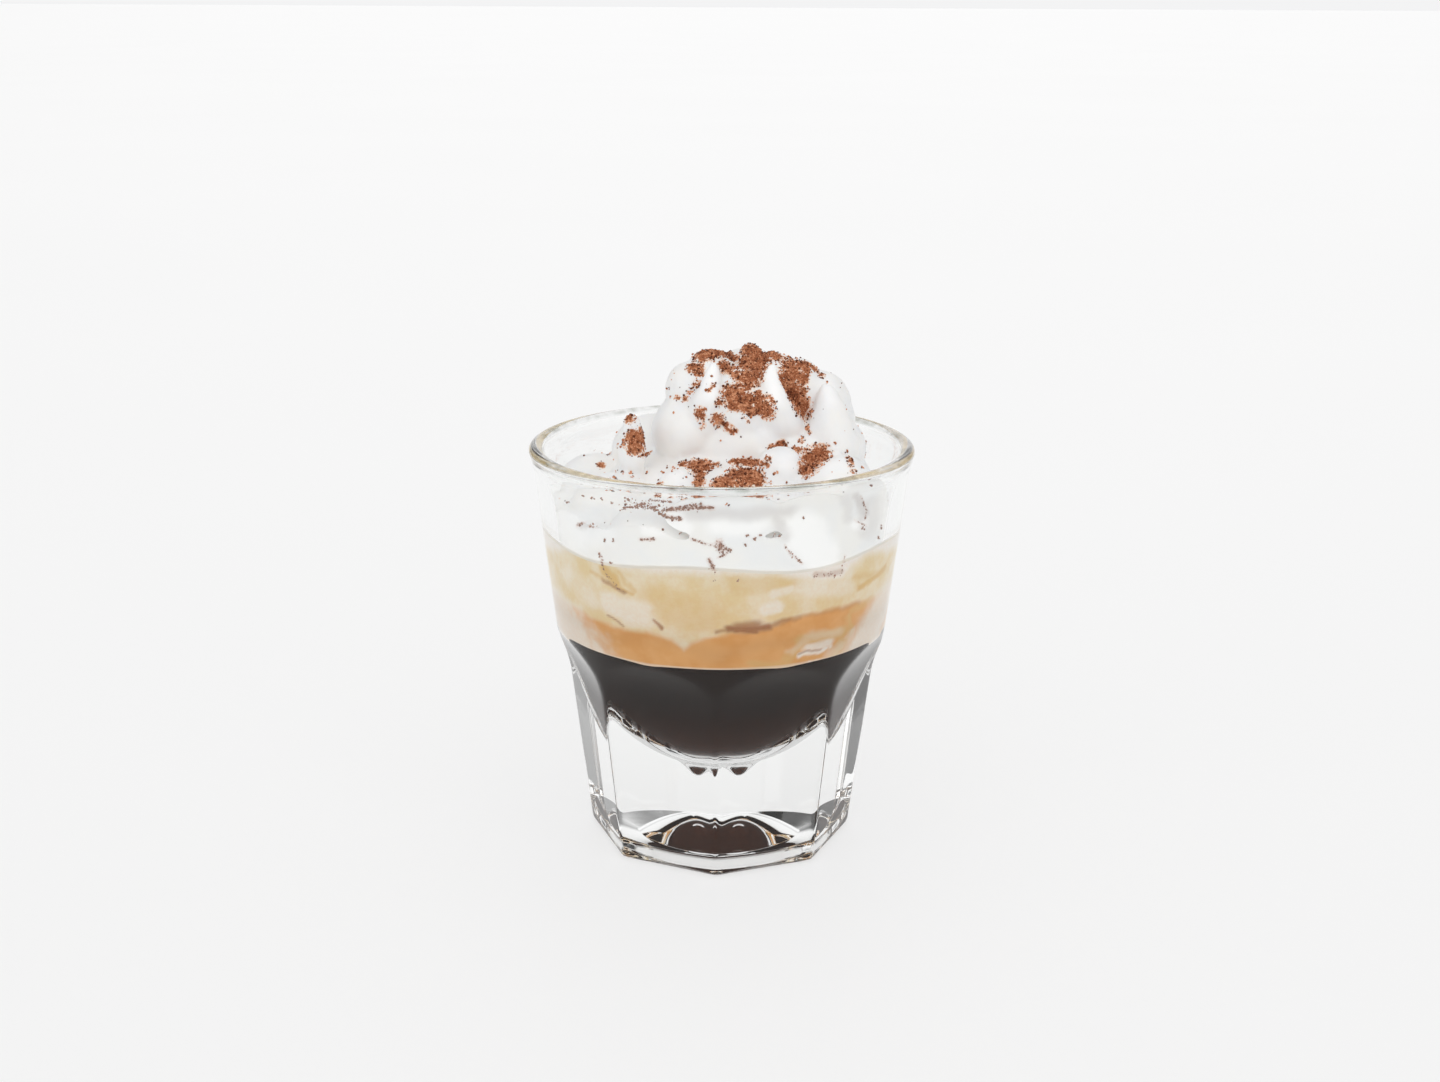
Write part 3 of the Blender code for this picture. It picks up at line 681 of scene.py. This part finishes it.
def make_layer(name, low, high):
    """A layer that fills the inside between two wavy surfaces."""
    azimuth = azimuths(LAYER_COLUMNS)
    rows = []
    for share in (0.35, 0.7, 0.9):
        height = low(azimuth, share)
        rows.append(spots(share * inner_radius(height, REACH), azimuth, height))
    bottom, top = low(azimuth, 1.0), high(azimuth, 1.0)
    for share in np.linspace(0, 1, int((top - bottom).max() / LAYER_ROW) + 2):
        height = bottom + share * (top - bottom)
        rows.append(spots(inner_radius(height, REACH), azimuth, height))
    for share in (0.9, 0.7, 0.35):
        height = high(azimuth, share)
        rows.append(spots(share * inner_radius(height, REACH), azimuth, height))
    centre = (float(low(0.0, 0.0)), float(high(0.0, 0.0)))
    layer = skin(name, np.array(rows), (0, 0, centre[0]), (0, 0, centre[1]))
    layer.data.set_sharp_from_angle(angle=CORNER)
    return layer


def unrolled(point):
    return math.atan2(point.x, -point.y), point.z


def line_heights(glass, line, azimuth):
    """The heights of a line measured in the photo, carried round the back as its mirror image."""
    marks = [wall_spot(glass, *pixel) for pixel in line]
    known, heights = zip(*sorted(unrolled(mark) for mark in marks if mark is not None))
    folded = np.abs((azimuth + math.pi) % (2 * math.pi) - math.pi)
    front = np.sign(np.sin(azimuth)) * np.minimum(folded, math.pi - folded)
    return np.interp(front, known, heights)


def mark_values(points, glass, groups):
    """How strong each kind of mark is at points along the inner wall."""
    radius, azimuth = polar(points)
    drift = noises_at(points, MARK_DRIFT)
    height = points[:, 2] + noises_at(points, WOBBLE)
    values = {kind: np.zeros(len(points)) for kind in groups}
    for kind, x0, y0, x1, y1, width, edge, strength in [(k, *m) for k in groups for m in groups[k]]:
        ends = [wall_spot(glass, *pixel) for pixel in ((x0, y0), (x1, y1))]
        if None in ends:
            continue
        size = pixel_size(ends[0])
        for turned in (False, True) if width > SMALL_MARK else (False,):
            start, end = [np.array(unrolled(spot)) for spot in ends]
            if turned:
                start[0], end[0] = math.pi - start[0], math.pi - end[0]
            squeeze = abs(math.cos(start[0] - PHOTO_TURN)) * radius
            offset = (azimuth - start[0] + math.pi) % (2 * math.pi) - math.pi
            across, rise = (offset * squeeze + drift) / size, (height - start[1]) / size
            run = (end[0] - start[0]) * squeeze / size
            climb = (end[1] - start[1]) / size
            share = np.clip((across * run + rise * climb) / np.maximum(run**2 + climb**2, 1e-9), 0, 1)
            distance = np.hypot(across - share * run, rise - share * climb)
            value = strength * (1 - smooth_step(distance, width - edge / 2, width + edge))
            values[kind] = np.maximum(values[kind], value)
    return values


def paint_layer(obj, glass):
    """Writes the layer's colours as values: amber, white, pale with a painted highlight along the coffee,
    ochre and dark.
    """
    points = points_of(obj.data)
    azimuth = polar(points)[1]
    height = points[:, 2] + noises_at(points, WOBBLE)
    amber_line = line_heights(glass, AMBER_LINE, azimuth)
    white_line = line_heights(glass, WHITE_LINE, azimuth)
    white_line -= SIDE_DROP * smooth_step(np.abs(np.sin(azimuth)), 0.8, 1.0)
    values = mark_values(points, glass, LAYER_MARKS)
    values["amber"] = 1 - smooth_step(height - amber_line, -LINE_SOFTNESS, LINE_SOFTNESS)
    values["white"] = smooth_step(height - white_line, -WHITE_SOFTNESS, WHITE_SOFTNESS)
    # a painted highlight along the coffee's edge, put into the pale value
    edge = MENISCUS_HIGHLIGHT * (1 - smooth_step(points[:, 2] - COFFEE_TOP, *EDGE_BAND))
    values["pale"] = np.maximum(values["pale"], edge)
    for kind, value in values.items():
        set_values(obj.data, kind, value)


def form_of(operator, **settings):
    """The points and faces that one of Blender's mesh operators makes."""
    bm = bmesh.new()
    operator(bm, **settings)
    points = np.array([v.co[:] for v in bm.verts])
    faces = [[v.index for v in f.verts] for f in bm.faces]
    bm.free()
    return points, faces


def ball_form(segments, rings):
    return form_of(bmesh.ops.create_uvsphere, u_segments=segments, v_segments=rings, radius=1.0)


def bed_form():
    middle = Matrix.Translation((0, 0, (BED_TOP + BED_BASE) / 2))
    size = {"radius1": BED_RADIUS, "radius2": BED_RADIUS, "depth": BED_TOP - BED_BASE}
    return form_of(bmesh.ops.create_cone, cap_ends=True, segments=96, matrix=middle, **size)


def add_ball(parts, form, centre, half_sizes, turn=0.0):
    """Adds a form at a centre, with half sizes along its axes and a turn about Z."""
    place = Matrix.Translation(Vector(centre)) @ Euler((0, 0, turn)).to_matrix().to_4x4()
    place = place @ Matrix.Diagonal((*half_sizes, 1.0))
    points = form[0] @ np.array(place.to_3x3()).T + np.array(place.translation)
    parts.append((points, form[1]))


def add_fold(parts, form, points):
    """A fold or peak: balls of changing size strung closely along a line."""
    for start, end in zip(points, points[1:]):
        start, end = Vector(start), Vector(end)
        length = (end - start).xyz.length
        balls = max(2, math.ceil(length / (FOLD_SPACING * min(start.w, end.w))))
        for i in range(balls + 1):
            x, y, z, size = start.lerp(end, i / balls)
            add_ball(parts, form, Vector((x, y, z)) * MM, (size * MM,) * 3)


def cream_mesh():
    """The lumps and peaks on their bed, merged by a fine remesh and softened."""
    fine_ball, small_ball = ball_form(40, 24), ball_form(20, 12)
    parts = [bed_form()]
    for centre, sizes, turn in (MOUND, CORE) + HEAD_LUMPS + SHOULDER_LUMPS:
        add_ball(parts, fine_ball, Vector(centre) * MM, Vector(sizes) * MM, math.radians(turn))
    for fold in FOLDS:
        add_fold(parts, small_ball, fold)
    for azimuth, height, half_width in WALL_LUMPS:
        turn = math.radians(azimuth)
        centre = spots(WALL_LUMP_AXIS, turn, height * MM).tolist()
        add_ball(parts, fine_ball, centre, (half_width * MM, WALL_LUMP_DEPTH, WALL_LUMP_HEIGHT), turn)
    points, faces, count = [], [], 0
    for part_points, part_faces in parts:
        points.append(part_points)
        faces += [[count + i for i in face] for face in part_faces]
        count += len(part_points)
    form = mesh_object("cream_rough", np.concatenate(points).tolist(), faces)
    merge = form.modifiers.new("merge", "REMESH")
    merge.mode = "VOXEL"
    merge.voxel_size = CREAM_VOXEL
    merge.use_smooth_shade = True
    soften = form.modifiers.new("soften", "SMOOTH")
    soften.factor = 0.5
    soften.iterations = CREAM_SMOOTHING
    seen = form.evaluated_get(bpy.context.evaluated_depsgraph_get())
    mesh = bpy.data.meshes.new_from_object(seen)
    rough = form.data
    bpy.data.objects.remove(form, do_unlink=True)
    bpy.data.meshes.remove(rough)
    mesh.name = "whipped_cream_heap"
    return mesh


def fit_inside(points):
    """Keeps the cream within the wall and above the foam."""
    radius, azimuth = polar(points)
    floor = foam_top(azimuth, np.minimum(radius / inner_radius(FOAM_TOP), 1.0)) - 0.05 * MM
    points[:, 2] = np.maximum(points[:, 2], floor)
    film = smooth_step(points[:, 2] - floor, FOOT_START, FOOT_END)
    limit = inner_radius(points[:, 2], REACH - (REACH + FILM) * film)
    squeeze = np.minimum(limit / np.maximum(radius, 1e-9), 1.0)
    points[:, :2] *= squeeze[:, None]
    return points


def make_cream():
    mesh = cream_mesh()
    points = points_of(mesh)
    normals = normals_of(mesh)
    for size, height in RIPPLES:
        points += normals * (noise_at(points, size) * height)[:, None]
    set_points(mesh, fit_inside(points))
    mesh.shade_smooth()
    return link(bpy.data.objects.new("whipped_cream_heap", mesh))


def camera_frame_of(points):
    """Points as across, up and away from the camera, in metres."""
    turn = np.array(camera_place().to_3x3())
    return np.asarray(points) @ turn * np.array([1, 1, -1])


def stroke_values(points, strokes, depth_share=0.35):
    """The density that strokes of cocoa leave at points: (start, end, half width, density) each."""
    squash = np.array([1, 1, depth_share])
    flat = camera_frame_of(points) * squash
    values = np.zeros(len(points))
    for start, end, width, density in strokes:
        first, last = camera_frame_of([start, end]) * squash
        line = last - first
        share = np.clip((flat - first) @ line / max(line @ line, 1e-12), 0, 1)
        distance = np.linalg.norm(flat - first - share[:, None] * line, axis=1)
        value = density * np.clip(0.5 + 0.5 * (width - distance) / max(width, STROKE_SOFTNESS), 0, 1)
        values = np.maximum(values, value)
    return values


def thread_strokes(glass):
    """The lines of cocoa at the glass as strokes that tint the cream behind them."""
    strokes = []
    for width, line in THREADS:
        for pixels in zip(line, line[1:]):
            ends = [wall_spot(glass, *pixel) for pixel in pixels]
            if None not in ends:
                strokes.append((*ends, (width + THREAD_MARGIN) * pixel_size(ends[0]), THREAD_DENSITY))
    return strokes


def landed_strokes(strokes, glass, cream):
    """Strokes given by pixels, laid on the cream."""
    landed = []
    for x0, y0, x1, y1, width, density in strokes:
        ends = [land(glass, cream, *pixel)[0] for pixel in ((x0, y0), (x1, y1))]
        ends = [end for end in ends if end is not None]
        if ends:
            landed.append((ends[0], ends[-1], width * pixel_size(ends[0]), density))
    return landed


def paint_cocoa(obj, glass):
    """Writes how much cocoa lies on the cream, and raises the cream a little under it."""
    mesh = obj.data
    tree = tree_of(obj)
    points, normals = points_of(mesh), normals_of(mesh)
    cocoa = stroke_values(points, landed_strokes(COCOA, glass, tree))
    # painted highlight on the heap's lit peaks and ledge
    painted_highlight = stroke_values(points, landed_strokes(HIGHLIGHT_STROKES, glass, tree))
    away = camera_frame_of(points)[:, 2] - camera_frame_of([HEAP_MIDDLE])[0, 2]
    behind = smooth_step(away, *BEHIND) * smooth_step(normals[:, 1], -0.1, 0.3)
    drift = noise_at(points, 7 * MM, (3, 1, 7)) + 0.5 * noise_at(points, 2.5 * MM, (1, 5, 2))
    dusting = np.clip(DUSTING + 0.9 * drift + 0.5 * (normals[:, 2] - 0.5), 0, 1)
    cocoa = np.maximum(cocoa * (1 - behind), dusting * behind)
    relief_share = smooth_step(cocoa, *RELIEF_RANGE)
    radius = polar(points)[0]
    touching = smooth_step(radius - inner_radius(points[:, 2]), *TOUCHING)
    cocoa *= 1 - touching
    crumb = 0.5 + 0.5 * noise_at(points, 0.8 * MM, (9, 2, 4))
    relief = relief_share * (1 - touching) * (RELIEF[0] + RELIEF[1] * crumb) * MM
    wet = stroke_values(points, thread_strokes(glass), 0.5)
    set_points(mesh, fit_inside(points + normals * relief[:, None]))
    set_values(mesh, "cocoa", cocoa)
    set_values(mesh, "wet", wet)
    set_values(mesh, "touching", touching)
    above = points[:, 2] - foam_top(polar(points)[1], 1.0) + 0.5 * noises_at(points, WOBBLE)
    set_values(mesh, "foot", FOOT_TINT * (1 - smooth_step(above, *FOOT_BAND)))
    mesh.set_sharp_from_angle(angle=CORNER)
    # painted shade and painted highlights: the marks at the glass, and the highlight strokes on the heap
    marks = mark_values(points, glass, CREAM_LIGHT_AND_SHADE)
    set_values(mesh, "shade", marks["shade"] * touching)
    set_values(mesh, "bright", np.maximum(marks["bright"] * touching, painted_highlight * (1 - touching)))


def make_grains(name, places, sizes, chance):
    """Many small angular grains of cocoa joined into one mesh."""
    form, faces = form_of(bmesh.ops.create_icosphere, subdivisions=1, radius=1.0)
    count = len(places)
    quaternions = chance.normal(size=(count, 4))
    quaternions /= np.linalg.norm(quaternions, axis=1)[:, None]
    w, x, y, z = quaternions.T
    turns = np.array(
        [
            [1 - 2 * (y * y + z * z), 2 * (x * y - z * w), 2 * (x * z + y * w)],
            [2 * (x * y + z * w), 1 - 2 * (x * x + z * z), 2 * (y * z - x * w)],
            [2 * (x * z - y * w), 2 * (y * z + x * w), 1 - 2 * (x * x + y * y)],
        ]
    ).transpose(2, 0, 1)
    stretch = chance.uniform(0.6, 1.3, size=(count, 1, 3))
    jitter = chance.uniform(0.75, 1.2, size=(count, len(form), 1))
    local = form[None] * jitter * stretch * np.asarray(sizes)[:, None, None]
    points = np.einsum("nij,nkj->nki", turns, local) + np.asarray(places)[:, None]
    faces = (np.array(faces) + (np.arange(count) * len(form))[:, None, None]).reshape(-1, 3)
    obj = mesh_object(name, points.reshape(-1, 3).tolist(), faces.tolist(), smooth=False)
    set_values(obj.data, "shade", np.repeat(chance.uniform(0, 1, count), len(form)))
    return obj


def scatter_on(obj, count, chance):
    """Grains strewn over the cocoa, more where it thins out."""
    mesh = obj.data
    points, normals = points_of(mesh), normals_of(mesh)
    cocoa = read_all(mesh.attributes["cocoa"].data, "value", 1, np.float32).ravel()
    mesh.calc_loop_triangles()
    corners = read_all(mesh.loop_triangles, "vertices", 3, np.int64)
    a, b, c = (points[corners[:, i]] for i in range(3))
    area = np.linalg.norm(np.cross(b - a, c - a), axis=1) / 2
    thick = cocoa[corners].mean(1)
    likely = area * (smooth_step(thick, *STREWN_RANGE) + STRAY_GRAINS * (normals[corners, 2].mean(1) > 0.3))
    chosen = chance.choice(len(corners), size=count, p=likely / likely.sum())
    mix = chance.dirichlet((1, 1, 1), size=count)
    places = np.einsum("nk,nkd->nd", mix, points[corners[chosen]])
    outward = normals[corners[chosen]].mean(1)
    middle, spread, *limits = GRAIN_SIZES
    sizes = np.clip(chance.lognormal(math.log(middle), spread, count), *limits) * MM
    return places + outward * (0.25 * sizes)[:, None], sizes


def thread_grains(glass, chance):
    """Grains along the lines of cocoa at the glass, and once more round the back."""
    places, sizes = [], []
    middle, spread, least, most = THREAD_SIZES
    for width, line in THREADS:
        for (x0, y0), (x1, y1) in zip(line, line[1:]):
            length = math.hypot(x1 - x0, y1 - y0)
            count = max(3, int(length * width * THREAD_GRAINS * min(1.0, width / THREAD_FULL)))
            for _ in range(count):
                share = chance.uniform()
                x, y = x0 + share * (x1 - x0), y0 + share * (y1 - y0)
                fullness = noise.noise(Vector((x, y, 0)) / THREAD_PATCH)
                side = chance.normal(size=2) * width * max(0.12, 0.42 + 0.7 * fullness)
                hit = wall_spot(glass, x + side[0], y + side[1])
                gap = noise.noise(Vector((x, y, 9)) / THREAD_GAP) < THREAD_BREAK
                if hit is not None and not (gap and width < THREAD_FULL):
                    places.append(hit)
                    sizes.append(min(max(chance.lognormal(math.log(middle), spread), least), most) * MM)
    places = np.array(places)
    outward = np.where(places[:, 2] < FOAM_TOP, REACH, -0.04 * MM)
    places[:, :2] *= 1 + (outward / polar(places)[0])[:, None]
    mirrored = places * np.array([1, -1, 1])
    return np.concatenate((places, mirrored[::3])), np.array(sizes + sizes[::3])


def speck_grains(glass, cream, chance):
    """The single specks, each a few grains together: those on the cream, and those at the glass."""
    free, wet = ([], []), ([], [])
    for pixel in SPECKS:
        for _ in range(chance.integers(3, 6)):
            shift = chance.normal(size=2) * SPECK_SPREAD
            hit, at_glass = land(glass, cream, pixel[0] + shift[0], pixel[1] + shift[1])
            if hit is not None:
                places, sizes = wet if at_glass else free
                places.append(hit)
                sizes.append(chance.uniform(*SPECK_SIZES) * MM)
    return [(np.array(places), np.array(sizes)) for places, sizes in (free, wet)]


def make_cocoa(cream, glass):
    """The cocoa strewn on the cream, and the wet cocoa along the glass."""
    chance = np.random.default_rng(7)
    free, wet = speck_grains(glass, tree_of(cream), chance)
    pieces = (
        ("cocoa_powder", (scatter_on(cream, SCATTERED, chance), free)),
        ("cocoa_at_glass", (thread_grains(glass, chance), wet)),
    )
    return [make_grains(name, *map(np.concatenate, zip(*groups)), chance) for name, groups in pieces]


def feed(tree, socket, value):
    """Gives an input a number, a colour, or what a node or a socket puts out."""
    if isinstance(value, bpy.types.Node):
        value = value.outputs[0]
    if isinstance(value, bpy.types.NodeSocket):
        tree.links.new(value, socket)
    elif socket.type == "RGBA":
        socket.default_value = (*value, 1.0)
    else:
        socket.default_value = value


def add_node(tree, kind, **settings):
    """Adds a node. A setting with the name of an input feeds it, and others set the node."""
    node = tree.nodes.new(kind)
    inputs = {socket.name.replace(" ", "_").lower(): socket for socket in list(node.inputs)[::-1]}
    for key, value in settings.items():
        if key in inputs:
            feed(tree, inputs[key], value)
        else:
            setattr(node, key, value)
    return node


def value_of(tree, name):
    return add_node(tree, "ShaderNodeAttribute", attribute_name=name).outputs["Fac"]


def place_of(tree, space):
    return tree.nodes.new("ShaderNodeTexCoord").outputs[space]


def axes_of(tree, space):
    return add_node(tree, "ShaderNodeSeparateXYZ", vector=place_of(tree, space)).outputs


def noise_node(tree, size, detail=3.0, roughness=0.5):
    """Noise in the object's own space, with features of a size."""
    settings = {"scale": 1 / size, "detail": detail, "roughness": roughness}
    place = place_of(tree, "Object")
    return add_node(tree, "ShaderNodeTexNoise", vector=place, **settings).outputs["Fac"]


def math_node(tree, operation, *values):
    made = add_node(tree, "ShaderNodeMath", operation=operation)
    for socket, value in zip(made.inputs, values):
        feed(tree, socket, value)
    return made.outputs[0]


def times(tree, first, second):
    return math_node(tree, "MULTIPLY", first, second)


def ramp_between(tree, value, low, high, floor=0.0, ceiling=1.0):
    limits = {"from_min": low, "from_max": high, "to_min": floor, "to_max": ceiling}
    made = add_node(tree, "ShaderNodeMapRange", interpolation_type="SMOOTHSTEP", value=value, **limits)
    return made.outputs["Result"]


def blend_colours(tree, share, first, second):
    """Mixes two colours, each a socket or three numbers."""
    made = add_node(tree, "ShaderNodeMix", data_type="RGBA", factor=share)
    feed(tree, made.inputs[6], first)
    feed(tree, made.inputs[7], second)
    return made.outputs[2]


def mix_shaders(tree, share, first, second):
    made = tree.nodes.new("ShaderNodeMixShader")
    for socket, value in zip(made.inputs, (share, first, second)):
        feed(tree, socket, value)
    return made


def bump_node(tree, height, strength, distance):
    settings = {"strength": strength, "distance": distance}
    return add_node(tree, "ShaderNodeBump", height=height, **settings).outputs["Normal"]


def surface(tree, **settings):
    return add_node(tree, "ShaderNodeBsdfPrincipled", **settings)


def make_material(name, shader, *settings):
    """A material whose nodes come from a function that returns the last of them."""
    made = bpy.data.materials.new(name)
    made.use_nodes = True
    tree = made.node_tree
    tree.nodes.clear()
    add_node(tree, "ShaderNodeOutputMaterial", surface=shader(tree, *settings))
    return made


def glass_shader(tree):
    # the rim's dark tint is painted shade, where the thick glass looks darker edge on
    tint = blend_colours(tree, value_of(tree, "rim"), GLASS_TINT, RIM_SHADE)
    looks = {"ior": GLASS_IOR, "specular_tint": GLASS_SHINE, "transmission_weight": 1.0}
    return surface(tree, base_color=tint, roughness=0.0, **looks)


def coffee_shader(tree):
    """Nearly black, browner low down, with the mirror that glass shows at a slant to a liquid."""
    cloud = noise_node(tree, 9 * MM, 2.0)
    height = math_node(tree, "MULTIPLY_ADD", cloud, 4 * MM, axes_of(tree, "Object")["Z"])
    brown = ramp_between(tree, height, *BROWN_HEIGHTS, 1.0, 0.0)
    colour = blend_colours(tree, brown, COFFEE_DARK, COFFEE_BROWN)
    dark = add_node(tree, "ShaderNodeBsdfDiffuse", color=colour)
    shine = add_node(tree, "ShaderNodeBsdfGlossy", roughness=0.0)
    fresnel = add_node(tree, "ShaderNodeFresnel", ior=DRINK_IOR / GLASS_IOR)
    return mix_shaders(tree, fresnel, dark, shine)


def layer_shader(tree):
    """Foam as its painted values say, mottled and finely bubbled."""
    mottle = noise_node(tree, 5 * MM, 4.0, 0.55)
    fine = noise_node(tree, 0.6 * MM, 3.0, 0.6)
    share = ramp_between(tree, mottle, *MIDDLING)
    colour = blend_colours(tree, share, FOAM_DEEP, FOAM_LIGHT)
    crema = blend_colours(tree, share, CREMA_DEEP, CREMA_LIGHT)
    # the pale value holds pale foam and the painted highlight along the coffee
    tones = {"amber": crema, "ochre": OCHRE, "pale": FOAM_PALE_AND_HIGHLIGHT, "white": CREAM_WET, "dark": FOAM_DARK}
    for name, tone in tones.items():
        colour = blend_colours(tree, value_of(tree, name), colour, tone)
    shade = ramp_between(tree, fine, 0.3, 0.7, 0.0, 0.1)
    colour = blend_colours(tree, shade, colour, CREMA_DEEP)
    bubbles = bump_node(tree, fine, 0.25, 0.1 * MM)
    return surface(tree, base_color=colour, roughness=0.55, ior=1.15, normal=bubbles)


def cocoa_colour(tree, value):
    colour = blend_colours(tree, ramp_between(tree, value, *COCOA_LIGHTER), COCOA_MID, COCOA_LIGHT)
    return blend_colours(tree, ramp_between(tree, value, *COCOA_DARKER), colour, COCOA_DARK)


def cream_shader(tree):
    """Soft white cream with cocoa where the painted value and a fine noise put it."""
    cocoa = value_of(tree, "cocoa")
    fine = noise_node(tree, 0.35 * MM, 3.0, 0.6)
    density = math_node(tree, "MULTIPLY_ADD", noise_node(tree, 1.1 * MM, 5.0, 0.65), 1.7, cocoa)
    density = math_node(tree, "MULTIPLY_ADD", fine, 0.7, density)
    near = ramp_between(tree, cocoa, *COCOA_NEAR)
    covered = times(tree, near, ramp_between(tree, density, *COCOA_COVERED))
    stained = times(tree, near, ramp_between(tree, density, *COCOA_STAINED, 0.0, 0.75))
    drift = ramp_between(tree, noise_node(tree, 8 * MM, 3.0), *MIDDLING)
    colour = blend_colours(tree, drift, CREAM_COOL, CREAM_WARM)
    # the foam's tint at the foot, then painted highlights and painted shade
    for name, tone in (("foot", CREAM_FOOT), ("bright", CREAM_HIGHLIGHT), ("shade", CREAM_SHADE)):
        colour = blend_colours(tree, value_of(tree, name), colour, tone)
    wet = math_node(tree, "MULTIPLY_ADD", fine, 0.6, value_of(tree, "wet"))
    colour = blend_colours(tree, ramp_between(tree, wet, 0.55, 1.0, 0.0, 0.6), colour, WET_LIGHT)
    colour = blend_colours(tree, stained, colour, STAIN)
    free = math_node(tree, "SUBTRACT", 1.0, value_of(tree, "touching"))
    glow = {"subsurface_radius": (1.0, 0.9, 0.8), "subsurface_scale": 1.2 * MM}
    cream = surface(
        tree,
        base_color=colour,
        roughness=0.45,
        ior=1.35,
        normal=bump_node(tree, noise_node(tree, 1.6 * MM, 4.0, 0.5), 0.25, 0.2 * MM),
        subsurface_weight=times(tree, free, 0.3),
        specular_ior_level=times(tree, free, 0.5),
        **glow,
    )
    patches = times(tree, noise_node(tree, 1.5 * MM, 3.0, 0.6), 0.55)
    powder_colour = cocoa_colour(tree, math_node(tree, "MULTIPLY_ADD", fine, 0.45, patches))
    powder = powder_surface(tree, powder_colour, normal=bump_node(tree, fine, 0.8, 0.3 * MM))
    return mix_shaders(tree, covered, cream, powder)


def powder_surface(tree, colour, **settings):
    return surface(tree, base_color=colour, roughness=0.95, specular_ior_level=0.2, **settings)


def grain_shader(tree, wet):
    fine = times(tree, noise_node(tree, 0.3 * MM, 2.0), 0.5)
    shade = math_node(tree, "MULTIPLY_ADD", value_of(tree, "shade"), 0.5, fine)
    colour = blend_colours(tree, shade, WET_DARK, WET_LIGHT) if wet else cocoa_colour(tree, shade)
    return powder_surface(tree, colour)


def floor_shader(tree):
    colour = blend_colours(tree, noise_node(tree, 0.5, 2.0), *FLOOR_SHADES)
    glow = {"emission_color": (1, 1, 1), "emission_strength": FLOOR_GLOW}
    return surface(tree, base_color=colour, roughness=0.7, **glow)


def make_camera():
    data = bpy.data.cameras.new("photo_camera")
    data.sensor_width = SENSOR
    data.lens = CAMERA_LENS
    data.shift_x = CAMERA_SHIFT
    data.clip_end = 200
    camera = link(bpy.data.objects.new("photo_camera", data))
    camera.matrix_world = camera_place()
    bpy.context.scene.camera = camera


def make_floor():
    signs = ((-1, -1), (1, -1), (1, 1), (-1, 1))
    corners = [(x * FLOOR_HALF, y * FLOOR_HALF, -0.1 * MM) for x, y in signs]
    floor = mesh_object("floor", corners, [(0, 1, 2, 3)], smooth=False)
    floor.data.materials.append(make_material("floor", floor_shader))


def make_light():
    """Even light and a panel above the camera. Clear glass shows dim bands in place of the even light."""
    world = bpy.data.worlds.new("studio")
    bpy.context.scene.world = world
    world.use_nodes = True
    tree = world.node_tree
    tree.nodes.clear()
    x, y, z = axes_of(tree, "Generated")
    left_lift = ramp_between(tree, x, *LEFT_RANGE, 0.0, LEFT_LIFT)
    lift = math_node(tree, "ADD", left_lift, ramp_between(tree, y, *BACK_RANGE, 0.0, BACK_LIFT))
    overhead = ramp_between(tree, math_node(tree, "SUBTRACT", z, lift), *OVERHEAD)
    bright = math_node(tree, "MAXIMUM", overhead, ramp_between(tree, y, *BACK_PANEL))
    side = ramp_between(tree, x, *SIDE_RANGE, DIM_LEFT, DIM_RIGHT)
    dim = math_node(tree, "SUBTRACT", 1.0, bright)
    bands = math_node(tree, "MULTIPLY_ADD", dim, side, times(tree, bright, LIGHT))
    path = tree.nodes.new("ShaderNodeLightPath").outputs
    mirrored = math_node(tree, "MAXIMUM", path["Is Glossy Ray"], path["Is Transmission Ray"])
    scattered = math_node(tree, "MINIMUM", path["Diffuse Depth"], 1.0)
    clear = times(tree, mirrored, math_node(tree, "SUBTRACT", 1.0, scattered))
    even = times(tree, math_node(tree, "SUBTRACT", 1.0, clear), SOFT_LIGHT)
    level = math_node(tree, "MULTIPLY_ADD", bands, clear, even)
    low_edge = ramp_between(tree, z, *PANEL_LOW, 0.0, PANEL - LIGHT)
    panel = times(tree, low_edge, ramp_between(tree, z, *PANEL_HIGH))
    panel = times(tree, ramp_between(tree, y, *PANEL_FRONT), panel)
    level = math_node(tree, "ADD", level, panel)
    light = add_node(tree, "ShaderNodeBackground", color=(1, 1, 1), strength=level)
    backdrop = add_node(tree, "ShaderNodeBackground", color=BACKDROP, strength=1.0)
    shown = mix_shaders(tree, path["Is Camera Ray"], light, backdrop)
    add_node(tree, "ShaderNodeOutputWorld", surface=shown)


def make_stage():
    make_floor()
    make_light()
    scene = bpy.context.scene
    scene.view_settings.view_transform = "Standard"
    scene.cycles.max_bounces = 32
    scene.cycles.diffuse_bounces = 12
    scene.cycles.blur_glossy = 0.0
    scene.cycles.transmission_bounces = 24
    scene.cycles.glossy_bounces = 16


def dress(obj, material, node=None):
    """Gives a piece its material, its body and the node whose place it takes."""
    obj.data.materials.append(material)
    if node:
        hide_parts(node)
    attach(obj, "root")


def coffee_level(azimuth, share):
    return np.full(np.shape(azimuth), COFFEE_TOP)


def main():
    tumbler = make_tumbler()
    paint_rim_shade(tumbler)
    glass = tree_of(tumbler)
    dress(tumbler, make_material("tumbler_glass", glass_shader), "tumbler")
    dress(make_coffee(), make_material("coffee_drink", coffee_shader), "coffee")
    crema = make_layer("crema_layer", coffee_level, crema_top)
    foam = make_layer("foam_layer", crema_top, foam_top)
    paint_layer(crema, glass)
    paint_layer(foam, glass)
    dress(crema, make_material("crema", layer_shader), "crema")
    dress(foam, make_material("milk_foam", layer_shader), "milk_foam")
    cream = make_cream()
    paint_cocoa(cream, glass)
    dress(cream, make_material("whipped_cream", cream_shader), "whipped_cream")
    strewn, at_glass = make_cocoa(cream, glass)
    dress(strewn, make_material("cocoa_powder", grain_shader, False))
    dress(at_glass, make_material("cocoa_at_glass", grain_shader, True))
    make_stage()
    make_camera()


main()
